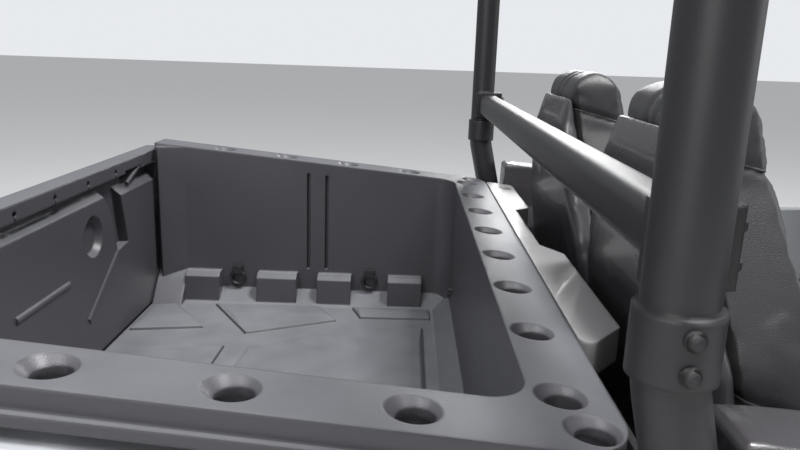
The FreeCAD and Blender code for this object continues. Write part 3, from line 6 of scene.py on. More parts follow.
import json
import logging
import math
from dataclasses import dataclass
from enum import Enum

import bmesh
import bpy
from mathutils import Matrix, Vector

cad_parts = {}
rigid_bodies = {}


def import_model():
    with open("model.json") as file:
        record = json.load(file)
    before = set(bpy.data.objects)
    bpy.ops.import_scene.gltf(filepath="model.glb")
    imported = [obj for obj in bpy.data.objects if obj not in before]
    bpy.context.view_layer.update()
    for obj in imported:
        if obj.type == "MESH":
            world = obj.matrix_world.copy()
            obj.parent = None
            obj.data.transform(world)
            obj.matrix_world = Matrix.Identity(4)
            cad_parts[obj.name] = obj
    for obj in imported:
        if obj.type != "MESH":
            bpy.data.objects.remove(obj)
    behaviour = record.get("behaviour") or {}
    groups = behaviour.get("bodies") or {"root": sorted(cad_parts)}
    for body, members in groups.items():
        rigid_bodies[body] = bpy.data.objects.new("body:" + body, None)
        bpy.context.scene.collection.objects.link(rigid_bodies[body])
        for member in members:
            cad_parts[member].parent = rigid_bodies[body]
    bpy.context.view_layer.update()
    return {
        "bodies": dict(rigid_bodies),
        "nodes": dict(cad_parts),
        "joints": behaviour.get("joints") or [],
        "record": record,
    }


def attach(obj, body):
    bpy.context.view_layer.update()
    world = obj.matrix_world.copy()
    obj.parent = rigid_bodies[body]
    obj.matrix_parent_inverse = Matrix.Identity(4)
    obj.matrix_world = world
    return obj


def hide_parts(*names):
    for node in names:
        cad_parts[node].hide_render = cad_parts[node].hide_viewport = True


LOG = logging.getLogger("side_by_side")
Colour = tuple[float, float, float]
Stage = tuple[float, float, float]
Point = tuple[float, float, float] | Vector
Span = tuple[float, float]
Box = tuple[Point, Point]
Plane = tuple[Point, Point]
Seams = tuple[tuple[Point, Point, float], ...]
SPLIT_ANGLE = 0.55
WELD_REACH = 0.00001
CUT_REACH = 0.00001
DOUBLE_REACH = 0.00002
AXLE_Z = 0.381
AXLES = (("front", 1.1), ("rear", -1.01))
SIDES = (("left", 1.0), ("right", -1.0))
SEAT_Y = 0.275
AIR_COLOUR = (0.80, 0.82, 0.85, 1.0)
# The cover strip gets its own finish with a painted sheen; the rings get black plating.
OWN_FINISHES = {"cover_strip": "strip", "tie_down_rings": "ring"}


class Surface(Enum):
    """Names the fine texture that a finish carries."""

    PEBBLE = "pebble"
    ORANGE_PEEL = "orange peel"
    BRUSHED = "brushed"
    HIDE = "hide"
    CAST = "cast"


@dataclass(frozen=True)
class DustAndTopLightLook:
    """A pale mark on level faces, partly dust and partly painted light from above: in patches, and more on
    the low floor than on the rails.
    """

    level: Span = (0.55, 0.98)
    patch_scale: float = 14.0
    patch_detail: float = 9.0
    patch_fade: Span = (0.30, 0.62)
    thinnest: float = 0.72
    heights: Span = (0.92, 1.08)
    rail_share: float = 0.5
    dulls: float = 0.12


@dataclass(frozen=True)
class SurfaceLook:
    """How the surfaces' cloudy change of tone and their fine texture are made."""

    cloud_scale: float = 5.0
    cloud_detail: float = 6.0
    grain: tuple[float, float, float] = (0.04, 1.0, 1.0)
    cell_randomness: float = 0.9
    peel_detail: float = 3.0
    cast_detail: float = 8.0


class NodeGroupMaker:
    """Builds the shader node groups that the finishes share."""

    def __init__(self) -> None:
        """Start with no groups built."""
        self.groups: dict[Surface, bpy.types.NodeTree] = {}
        self.dust_and_top_light_look = DustAndTopLightLook()
        self.surface_look = SurfaceLook()

    @staticmethod
    def _open(name: str, inputs: dict[str, str], outputs: dict[str, str]) \
            -> tuple[bpy.types.NodeTree, bpy.types.Node, bpy.types.Node]:
        """Start a group with its sockets.

        Args:
            name: the group's name.
            inputs: kind of each input socket, by name.
            outputs: kind of each output socket, by name.

        Returns:
            The new tree, its Group Input node and its Group Output node.
        """
        tree = bpy.data.node_groups.new(name, "ShaderNodeTree")
        for way, sockets in (("INPUT", inputs), ("OUTPUT", outputs)):
            for label, kind in sockets.items():
                tree.interface.new_socket(name=label, in_out=way, socket_type=f"NodeSocket{kind}")
        return tree, tree.nodes.new("NodeGroupInput"), tree.nodes.new("NodeGroupOutput")

    @staticmethod
    def _range(tree: bpy.types.NodeTree, value: bpy.types.NodeSocket, span: Span,
               reach: Span = (0.0, 1.0)) -> bpy.types.NodeSocket:
        """Map a value from one span to another.

        Args:
            tree: the group's tree.
            value: the socket that gives the value.
            span: where the value starts and ends.
            reach: what those ends become.

        Returns:
            The mapped value.
        """
        node = tree.nodes.new("ShaderNodeMapRange")
        node.inputs["From Min"].default_value, node.inputs["From Max"].default_value = span
        node.inputs["To Min"].default_value, node.inputs["To Max"].default_value = reach
        tree.links.new(value, node.inputs["Value"])
        return node.outputs["Result"]

    @staticmethod
    def _math(tree: bpy.types.NodeTree, operation: str, *values: bpy.types.NodeSocket | float) \
            -> bpy.types.NodeSocket:
        """Work one sum.

        Args:
            tree: the group's tree.
            operation: the sum's name.
            values: the sockets or plain numbers that go in.

        Returns:
            The outcome.
        """
        node = tree.nodes.new("ShaderNodeMath")
        node.operation = operation
        node.use_clamp = operation == "MULTIPLY_ADD"
        for socket, value in zip(node.inputs, values):
            if isinstance(value, float):
                socket.default_value = value
            else:
                tree.links.new(value, socket)
        return node.outputs[0]

    @staticmethod
    def _tint(tree: bpy.types.NodeTree, share: bpy.types.NodeSocket, plain: bpy.types.NodeSocket,
              other: bpy.types.NodeSocket) -> bpy.types.NodeSocket:
        """Mix two colours.

        Args:
            tree: the group's tree.
            share: how much of the second colour.
            plain: the first colour.
            other: the second colour.

        Returns:
            The mixed colour.
        """
        node = tree.nodes.new("ShaderNodeMix")
        node.data_type = "RGBA"
        for name, socket in (("Factor", share), ("A", plain), ("B", other)):
            tree.links.new(socket, node.inputs[name])
        return node.outputs["Result"]

    def group(self, surface: Surface) -> bpy.types.NodeTree:
        """Give the group for one surface, building it the first time.

        Args:
            surface: the fine texture wanted.

        Returns:
            The node tree with the sockets Vector, Colour, Shade, Size, Roughness and Spread
            in, and Colour, Roughness and Height out.
        """
        if surface not in self.groups:
            self.groups[surface] = self._build(surface)
        return self.groups[surface]

    def dust_and_top_light(self) -> bpy.types.NodeTree:
        """Give the group that lays dust and painted light from above on faces looking up, building it the
        first time.

        Returns:
            The node tree with the sockets Vector, Normal, Colour, Dust and top light, and Roughness in, and
            Colour and Roughness out.
        """
        name, look = "dust and painted top light on upper faces", self.dust_and_top_light_look
        if name in bpy.data.node_groups:
            return bpy.data.node_groups[name]
        inputs = {"Vector": "Vector", "Normal": "Vector", "Colour": "Color", "Dust and top light": "Color",
                  "Roughness": "Float"}
        tree, start, end = self._open(name, inputs, {"Colour": "Color", "Roughness": "Float"})
        nodes, links = tree.nodes, tree.links
        facing, place = nodes.new("ShaderNodeSeparateXYZ"), nodes.new("ShaderNodeSeparateXYZ")
        links.new(start.outputs["Normal"], facing.inputs[0])
        links.new(start.outputs["Vector"], place.inputs[0])
        patches = nodes.new("ShaderNodeTexNoise")
        patches.inputs["Scale"].default_value = look.patch_scale
        patches.inputs["Detail"].default_value = look.patch_detail
        links.new(start.outputs["Vector"], patches.inputs["Vector"])
        # Faces that look up get the pale colour: dust, and painted light from above.
        level = self._range(tree, facing.outputs["Z"], look.level)
        # The low floor gets more of the pale dust and painted light than the rails.
        low_floor_share = self._range(tree, place.outputs["Z"], look.heights, (1.0, look.rail_share))
        spots = self._range(tree, patches.outputs["Fac"], look.patch_fade, (look.thinnest, 1.0))
        share = self._math(tree, "MULTIPLY", self._math(tree, "MULTIPLY", level, low_floor_share), spots)
        colour = self._tint(tree, share, start.outputs["Colour"], start.outputs["Dust and top light"])
        links.new(colour, end.inputs["Colour"])
        dull = self._math(tree, "MULTIPLY_ADD", share, look.dulls, start.outputs["Roughness"])
        links.new(dull, end.inputs["Roughness"])
        return tree

    def _build(self, surface: Surface) -> bpy.types.NodeTree:
        """Build one group.

        Args:
            surface: the fine texture wanted.

        Returns:
            The new node tree.
        """
        look = self.surface_look
        inputs = {"Vector": "Vector", "Colour": "Color", "Shade": "Color", "Size": "Float",
                  "Roughness": "Float", "Spread": "Float"}
        outputs = {"Colour": "Color", "Roughness": "Float", "Height": "Float"}
        tree, start, end = self._open(f"{surface.value} surface", inputs, outputs)
        nodes, links = tree.nodes, tree.links
        cloud = nodes.new("ShaderNodeTexNoise")
        cloud.inputs["Scale"].default_value = look.cloud_scale
        cloud.inputs["Detail"].default_value = look.cloud_detail
        links.new(start.outputs["Vector"], cloud.inputs["Vector"])
        stretch = nodes.new("ShaderNodeMapping")
        if surface is Surface.BRUSHED:
            stretch.inputs["Scale"].default_value = look.grain
        links.new(start.outputs["Vector"], stretch.inputs["Vector"])
        if surface in (Surface.PEBBLE, Surface.HIDE):
            fine = nodes.new("ShaderNodeTexVoronoi")
            fine.feature = "SMOOTH_F1" if surface is Surface.PEBBLE else "DISTANCE_TO_EDGE"
            fine.inputs["Randomness"].default_value = look.cell_randomness
            height = fine.outputs["Distance"]
        else:
            fine = nodes.new("ShaderNodeTexNoise")
            peel = surface is Surface.ORANGE_PEEL
            fine.inputs["Detail"].default_value = look.peel_detail if peel else look.cast_detail
            height = fine.outputs["Fac"]
        links.new(stretch.outputs["Vector"], fine.inputs["Vector"])
        links.new(start.outputs["Size"], fine.inputs["Scale"])
        colour = self._tint(tree, cloud.outputs["Fac"], start.outputs["Colour"], start.outputs["Shade"])
        centred = self._math(tree, "SUBTRACT", cloud.outputs["Fac"], 0.5)
        rough = self._math(tree, "MULTIPLY_ADD", centred, start.outputs["Spread"], start.outputs["Roughness"])
        links.new(colour, end.inputs["Colour"])
        links.new(rough, end.inputs["Roughness"])
        links.new(height, end.inputs["Height"])
        return tree


@dataclass(frozen=True)
class Finish:
    """One finish: what a surface is made of and how its fine texture looks."""

    name: str
    surface: Surface
    colour: Colour
    shade: Colour
    roughness: float
    spread: float = 0.15
    size: float = 900.0
    depth: float = 0.0002
    metallic: float = 0.0
    coat: float = 0.0
    coat_roughness: float = 0.05
    edge: float = 0.002
    edge_samples: int = 4
    # Pale colour laid on faces that look up: dust, and painted light from above.
    dust_and_top_light: Colour | None = None

    def _dust_and_top_light(self, tree: bpy.types.NodeTree, maker: NodeGroupMaker, place: bpy.types.Node,
              clean: bpy.types.Node) -> bpy.types.Node:
        """Lay pale dust and scuffs, with painted light from above, on the faces that look up.

        Args:
            tree: the material's tree.
            maker: gives the group of the dust and painted top light.
            place: the tree's Texture Coordinate node.
            clean: the node with the colour and roughness underneath.

        Returns:
            The node with the colour and roughness of both.
        """
        group = tree.nodes.new("ShaderNodeGroup")
        group.node_tree = maker.dust_and_top_light()
        group.inputs["Dust and top light"].default_value = (*self.dust_and_top_light, 1.0)
        tree.links.new(place.outputs["Object"], group.inputs["Vector"])
        tree.links.new(place.outputs["Normal"], group.inputs["Normal"])
        for name in ("Colour", "Roughness"):
            tree.links.new(clean.outputs[name], group.inputs[name])
        return group

    def build(self, maker: NodeGroupMaker) -> bpy.types.Material:
        """Make the material.

        Args:
            maker: gives the node group of the finish's surface.

        Returns:
            The new material.
        """
        material = bpy.data.materials.new(self.name)
        material.use_nodes = True
        tree = material.node_tree
        shader = tree.nodes["Principled BSDF"]
        place = tree.nodes.new("ShaderNodeTexCoord")
        group = tree.nodes.new("ShaderNodeGroup")
        group.node_tree = maker.group(self.surface)
        for name, value in (("Colour", (*self.colour, 1.0)), ("Shade", (*self.shade, 1.0)),
                            ("Size", self.size), ("Roughness", self.roughness), ("Spread", self.spread)):
            group.inputs[name].default_value = value
        tree.links.new(place.outputs["Object"], group.inputs["Vector"])
        look = self._dust_and_top_light(tree, maker, place, group) if self.dust_and_top_light else group
        tree.links.new(look.outputs["Colour"], shader.inputs["Base Color"])
        tree.links.new(look.outputs["Roughness"], shader.inputs["Roughness"])
        rounded = tree.nodes.new("ShaderNodeBevel")
        rounded.samples = self.edge_samples
        rounded.inputs["Radius"].default_value = self.edge
        bump = tree.nodes.new("ShaderNodeBump")
        bump.inputs["Distance"].default_value = self.depth
        bump.inputs["Strength"].default_value = 1.0
        tree.links.new(group.outputs["Height"], bump.inputs["Height"])
        tree.links.new(rounded.outputs["Normal"], bump.inputs["Normal"])
        tree.links.new(bump.outputs["Normal"], shader.inputs["Normal"])
        for name, value in (("Metallic", self.metallic), ("Coat Weight", self.coat),
                            ("Coat Roughness", self.coat_roughness)):
            shader.inputs[name].default_value = value
        return material


FINISHES = {
    "tyre": Finish("tyre rubber", Surface.CAST, (0.022, 0.022, 0.023), (0.034, 0.033, 0.032), 0.72, size=700),
    "rim": Finish("rim paint", Surface.ORANGE_PEEL, (0.03, 0.03, 0.032), (0.04, 0.04, 0.042), 0.32, coat=0.4),
    "cast": Finish("cast iron", Surface.CAST, (0.13, 0.13, 0.135), (0.2, 0.19, 0.185), 0.6, metallic=0.7,
                   depth=0.0005, size=300),
    "frame": Finish("frame powder coat", Surface.ORANGE_PEEL, (0.02, 0.02, 0.021), (0.03, 0.03, 0.031), 0.38,
                    size=1400, depth=0.0001),
    "spring": Finish("spring paint", Surface.ORANGE_PEEL, (0.03, 0.03, 0.032), (0.045, 0.045, 0.046), 0.35),
    "steel": Finish("machined steel", Surface.BRUSHED, (0.42, 0.42, 0.43), (0.5, 0.5, 0.51), 0.32,
                    metallic=1.0),
    "engine": Finish("cast casing", Surface.CAST, (0.16, 0.16, 0.165), (0.22, 0.22, 0.22), 0.5, metallic=0.8,
                     depth=0.0005, size=350),
    "muffler": Finish("brushed muffler", Surface.BRUSHED, (0.45, 0.44, 0.43), (0.5, 0.48, 0.45), 0.35,
                      metallic=1.0),
    "plastic": Finish("black moulded plastic", Surface.PEBBLE, (0.022, 0.022, 0.024), (0.03, 0.03, 0.032),
                      0.45),
    "cage": Finish("cage powder coat", Surface.ORANGE_PEEL, (0.016, 0.016, 0.018), (0.022, 0.022, 0.024),
                   0.42, size=1500, depth=0.0001, edge=0.007),
    # Pale grey painted sheen: stands in for the bright reflection on the cover strip.
    "strip": Finish("cover strip with painted sheen", Surface.PEBBLE, (0.28, 0.28, 0.285), (0.34, 0.338, 0.34), 0.25,
                    coat=0.5, edge=0.006),
    # The bed's pale dust colour also paints the light from above on its floor and rails.
    "bed": Finish("bed moulded plastic", Surface.PEBBLE, (0.052, 0.051, 0.059), (0.070, 0.069, 0.078), 0.38,
                  size=800, depth=0.0002, edge=0.006, dust_and_top_light=(0.175, 0.18, 0.195)),
    "paint": Finish("pearl body colour", Surface.ORANGE_PEEL, (0.40, 0.415, 0.44), (0.43, 0.445, 0.47), 0.25,
                    spread=0.05, size=2500, depth=0.00003, coat=1.0, edge=0.004),
    "red_lens": Finish("red lens", Surface.ORANGE_PEEL, (0.30, 0.008, 0.008), (0.38, 0.012, 0.012), 0.12,
                       coat=1.0),
    "zinc": Finish("zinc plate", Surface.CAST, (0.5, 0.5, 0.5), (0.58, 0.56, 0.52), 0.35, metallic=1.0),
    "ring": Finish("black zinc plate", Surface.CAST, (0.05, 0.05, 0.055), (0.08, 0.08, 0.085), 0.4,
                   metallic=0.8),
    "trim": Finish("moulded trim", Surface.PEBBLE, (0.036, 0.034, 0.038), (0.05, 0.046, 0.052), 0.28,
                   coat=0.3, edge=0.006),
    "seat": Finish("seat vinyl", Surface.HIDE, (0.028, 0.028, 0.03), (0.04, 0.04, 0.042), 0.42, size=420,
                   depth=0.0004),
    "piping": Finish("seat piping", Surface.HIDE, (0.05, 0.05, 0.053), (0.07, 0.07, 0.072), 0.5, size=900),
    "grip": Finish("grip rubber", Surface.PEBBLE, (0.02, 0.02, 0.02), (0.03, 0.03, 0.03), 0.6),
    "lens": Finish("clear lens", Surface.ORANGE_PEEL, (0.11, 0.12, 0.135), (0.17, 0.18, 0.2), 0.1, coat=1.0,
                   metallic=0.5),
}


@dataclass(frozen=True)
class Softbox:
    """One square soft lamp."""

    name: str
    spot: Point
    size: float
    power: float
    aim: Point

    def hang(self) -> None:
        """Hang the lamp and turn it to what it lights."""
        data = bpy.data.lights.new(self.name, "AREA")
        data.shape, data.size, data.energy = "SQUARE", self.size, self.power
        lamp = bpy.data.objects.new(self.name, data)
        lamp.location = self.spot
        lamp.rotation_euler = (Vector(self.aim) - Vector(self.spot)).to_track_quat("-Z", "Y").to_euler()
        bpy.context.scene.collection.objects.link(lamp)


SOFTBOXES = (
    Softbox("rail_softbox", (0.9, 6.0, 3.3), 1.6, 95.0, (-0.6, 0.1, 1.1)),
    Softbox("key_softbox", (2.2, -0.7, 8.0), 1.6, 720.0, (-0.9, 0.0, 0.9)),
    Softbox("near_softbox", (-1.8, -1.8, 4.8), 2.0, 110.0, (-1.0, 0.1, 0.9)),
    Softbox("side_softbox", (-3.5, -4.5, 2.6), 2.6, 70.0, (-0.6, 0.0, 0.8)),
    Softbox("nose_softbox", (5.5, 1.0, 2.2), 2.6, 32.0, (0.8, 0.0, 0.7)),
)


@dataclass
class Studio:
    """The camera where the photographer stood, the pale floor and the soft lamps.

    The picture's own axes, right and down, are given in the vehicle's frame.
    """

    eye: Point = (-0.7482, -1.1783, 1.4895)
    right: Point = (0.99939, 0.01151, 0.03283)
    down: Point = (0.03462, -0.23814, -0.97061)
    lens: float = 32.0
    sensor: float = 36.0
    floor_size: float = 60.0
    floor_colour: tuple[float, float, float, float] = (0.62, 0.62, 0.62, 1.0)
    floor_roughness: float = 0.8
    floor_glow: float = 0.18
    glow_colour: tuple[float, float, float, float] = (0.96, 0.98, 1.0, 1.0)
    air_strength: float = 0.43

    def place_camera(self) -> None:
        """Put the camera at the photograph's viewpoint."""
        data = bpy.data.cameras.new("viewpoint")
        data.lens, data.sensor_width = self.lens, self.sensor
        camera = bpy.data.objects.new("viewpoint", data)
        right = Vector(self.right).normalized()
        ahead = right.cross(Vector(self.down).normalized()).normalized()
        up = right.cross(ahead)
        turn = Matrix((right, up, -ahead)).transposed()
        camera.matrix_world = Matrix.Translation(Vector(self.eye)) @ turn.to_4x4()
        bpy.context.scene.collection.objects.link(camera)
        bpy.context.scene.camera = camera

    def lay_floor(self) -> None:
        """Lay the pale floor."""
        mesh = bmesh.new()
        bmesh.ops.create_grid(mesh, x_segments=1, y_segments=1, size=self.floor_size)
        data = bpy.data.meshes.new("studio_floor")
        mesh.to_mesh(data)
        mesh.free()
        floor = bpy.data.objects.new("studio_floor", data)
        bpy.context.scene.collection.objects.link(floor)
        material = bpy.data.materials.new("studio floor paint")
        material.use_nodes = True
        nodes, links = material.node_tree.nodes, material.node_tree.links
        shader = nodes["Principled BSDF"]
        shader.inputs["Base Color"].default_value = self.floor_colour
        shader.inputs["Roughness"].default_value = self.floor_roughness
        seen, paler = nodes.new("ShaderNodeLightPath"), nodes.new("ShaderNodeMath")
        paler.operation = "MULTIPLY"
        paler.inputs[1].default_value = self.floor_glow
        links.new(seen.outputs["Is Camera Ray"], paler.inputs[0])
        glow, both = nodes.new("ShaderNodeEmission"), nodes.new("ShaderNodeAddShader")
        glow.inputs["Color"].default_value = self.glow_colour
        links.new(paler.outputs[0], glow.inputs["Strength"])
        links.new(shader.outputs[0], both.inputs[0])
        links.new(glow.outputs[0], both.inputs[1])
        links.new(both.outputs[0], nodes["Material Output"].inputs["Surface"])
        data.materials.append(material)

    def hang_lamps(self) -> None:
        """Hang the soft lamps and set the pale surroundings."""
        for softbox in SOFTBOXES:
            softbox.hang()
        world = bpy.data.worlds.new("studio air")
        world.use_nodes = True
        nodes, links = world.node_tree.nodes, world.node_tree.links
        air = nodes["Background"]
        air.inputs["Color"].default_value = AIR_COLOUR
        air.inputs["Strength"].default_value = self.air_strength
        backdrop = nodes.new("ShaderNodeBackground")
        backdrop.inputs["Color"].default_value = AIR_COLOUR
        choose = nodes.new("ShaderNodeMixShader")
        seen = nodes.new("ShaderNodeLightPath")
        links.new(seen.outputs["Is Camera Ray"], choose.inputs[0])
        links.new(air.outputs[0], choose.inputs[1])
        links.new(backdrop.outputs[0], choose.inputs[2])
        links.new(choose.outputs[0], nodes["World Output"].inputs["Surface"])
        bpy.context.scene.world = world
        bpy.context.scene.view_settings.view_transform = "Standard"

    def build(self) -> None:
        """Set the whole studio up, the camera first."""
        self.place_camera()
        self.lay_floor()
        self.hang_lamps()
        LOG.info("studio ready")


@dataclass(frozen=True)
class BoltShape:
    """A bolt's washer and head, as shares of the head's radius."""

    washer_radius: float = 1.35
    washer_top: float = 0.3
    head_foot: float = 0.2
    head_top: float = 1.1
    head_taper: float = 0.92
    corners: int = 6


class Bench:
    """Adds primitive shapes to one open mesh, then turns it into a finished piece."""

    ROUND_SIDES = 32
    WIRE_SIDES = 12
    STEPS_PER_TURN = 36
    BOLT = BoltShape()

    def __init__(self, materials: dict[str, bpy.types.Material]) -> None:
        """Start with an empty mesh.

        Args:
            materials: the materials by slot name.
        """
        self.materials = materials
        self.mesh = bmesh.new()

    def rod(self, start: Point, stop: Point, wide: float, narrow: float | None = None,
            sides: int = ROUND_SIDES) -> None:
        """Add a round bar, a cone or, with six sides, a bolt's head.

        Args:
            start: middle of one end.
            stop: middle of the other end.
            wide: radius at the start.
            narrow: radius at the stop, the same if left out.
            sides: number of sides.
        """
        along = Vector(stop) - Vector(start)
        turn = along.to_track_quat("Z", "Y").to_matrix().to_4x4()
        place = Matrix.Translation((Vector(start) + Vector(stop)) / 2) @ turn
        bmesh.ops.create_cone(self.mesh, cap_ends=True, segments=sides, radius1=wide,
                              radius2=wide if narrow is None else narrow, depth=along.length, matrix=place)

    def ball(self, centre: Point, radius: float) -> None:
        """Add a ball.

        Args:
            centre: its middle.
            radius: its radius.
        """
        bmesh.ops.create_uvsphere(self.mesh, u_segments=24, v_segments=14, radius=radius,
                                  matrix=Matrix.Translation(centre))

    def slab(self, low: Point, high: Point, edge: float = 0.002, turn: Matrix | None = None) -> None:
        """Add a box with rounded edges.

        Args:
            low: its lowest corner.
            high: its highest corner.
            edge: radius of its edges.
            turn: a turn about its own middle.
        """
        size = Vector(high) - Vector(low)
        place = Matrix.Translation((Vector(low) + Vector(high)) / 2) @ (turn or Matrix.Identity(4))
        made = bmesh.ops.create_cube(self.mesh, size=1.0, matrix=place @ Matrix.Diagonal((*size, 1.0)))
        bmesh.ops.bevel(self.mesh, geom=self._edges(made), offset=edge, affect="EDGES", segments=3,
                        profile=0.5, material=-1)

    @staticmethod
    def _edges(made: dict) -> list[bmesh.types.BMEdge]:
        """List the edges of a new shape, each once and always in the same order.

        Args:
            made: what the operator that made the shape gave back.

        Returns:
            The edges.
        """
        return list(dict.fromkeys(link for vert in made["verts"] for link in vert.link_edges))

    def coil(self, centre: Point, axis: Vector, radius: float, wire: float, turns: float,
             pitch: float) -> None:
        """Add a helix of round wire.

        Args:
            centre: middle of its first turn.
            axis: the line it winds about.
            radius: from the axis to the middle of the wire.
            wire: radius of the wire.
            turns: how many turns it makes.
            pitch: how far it climbs in each turn.
        """
        axis = axis.normalized()
        out = axis.to_track_quat("Z", "Y").to_matrix() @ Vector((1.0, 0.0, 0.0))
        turn = Matrix((out, axis, out.cross(axis))).transposed().to_4x4()
        made = bmesh.ops.create_circle(self.mesh, cap_ends=False, segments=self.WIRE_SIDES, radius=wire,
                                       matrix=Matrix.Translation(Vector(centre) + out * radius) @ turn)
        steps = round(self.STEPS_PER_TURN * turns)
        edges = self._edges(made)
        done = bmesh.ops.spin(self.mesh, geom=made["verts"] + edges, cent=centre, axis=axis,
                              dvec=axis * (pitch * turns / steps), angle=math.tau * turns, steps=steps)
        last = [item for item in done["geom_last"] if isinstance(item, bmesh.types.BMEdge)]
        bmesh.ops.contextual_create(self.mesh, geom=edges)
        bmesh.ops.contextual_create(self.mesh, geom=last)

    def bolt(self, spot: Point, axis: Point, size: float) -> None:
        """Add a washer and a six-sided head.

        Args:
            spot: where the washer lies.
            axis: the way the head stands out.
            size: radius of the head.
        """
        out, spot, shape = Vector(axis).normalized(), Vector(spot), self.BOLT
        self.rod(spot, spot + out * shape.washer_top * size, shape.washer_radius * size)
        self.rod(spot + out * shape.head_foot * size, spot + out * shape.head_top * size, size,
                 shape.head_taper * size, sides=shape.corners)

    def done(self, name: str, slot: str, body: str, stands_for: tuple[str, ...] = ()) -> bpy.types.Object:
        """Args:
            name: the piece's name.
            slot: its material slot.
            body: the body it rides on.
            stands_for: CAD nodes that it takes the place of.

        Returns:
            The finished piece.
        """
        bmesh.ops.recalc_face_normals(self.mesh, faces=self.mesh.faces[:])
        data = bpy.data.meshes.new(name)
        self.mesh.to_mesh(data)
        self.mesh.free()
        self.mesh = bmesh.new()
        piece = bpy.data.objects.new(name, data)
        bpy.context.scene.collection.objects.link(piece)
        data.materials.append(self.materials[slot])
        data.polygons.foreach_set("use_smooth", [True] * len(data.polygons))
        piece.modifiers.new("crisp corners", "EDGE_SPLIT").split_angle = SPLIT_ANGLE
        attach(piece, body)
        if stands_for:
            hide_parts(*stands_for)
        LOG.info("made %s", name)
        return piece


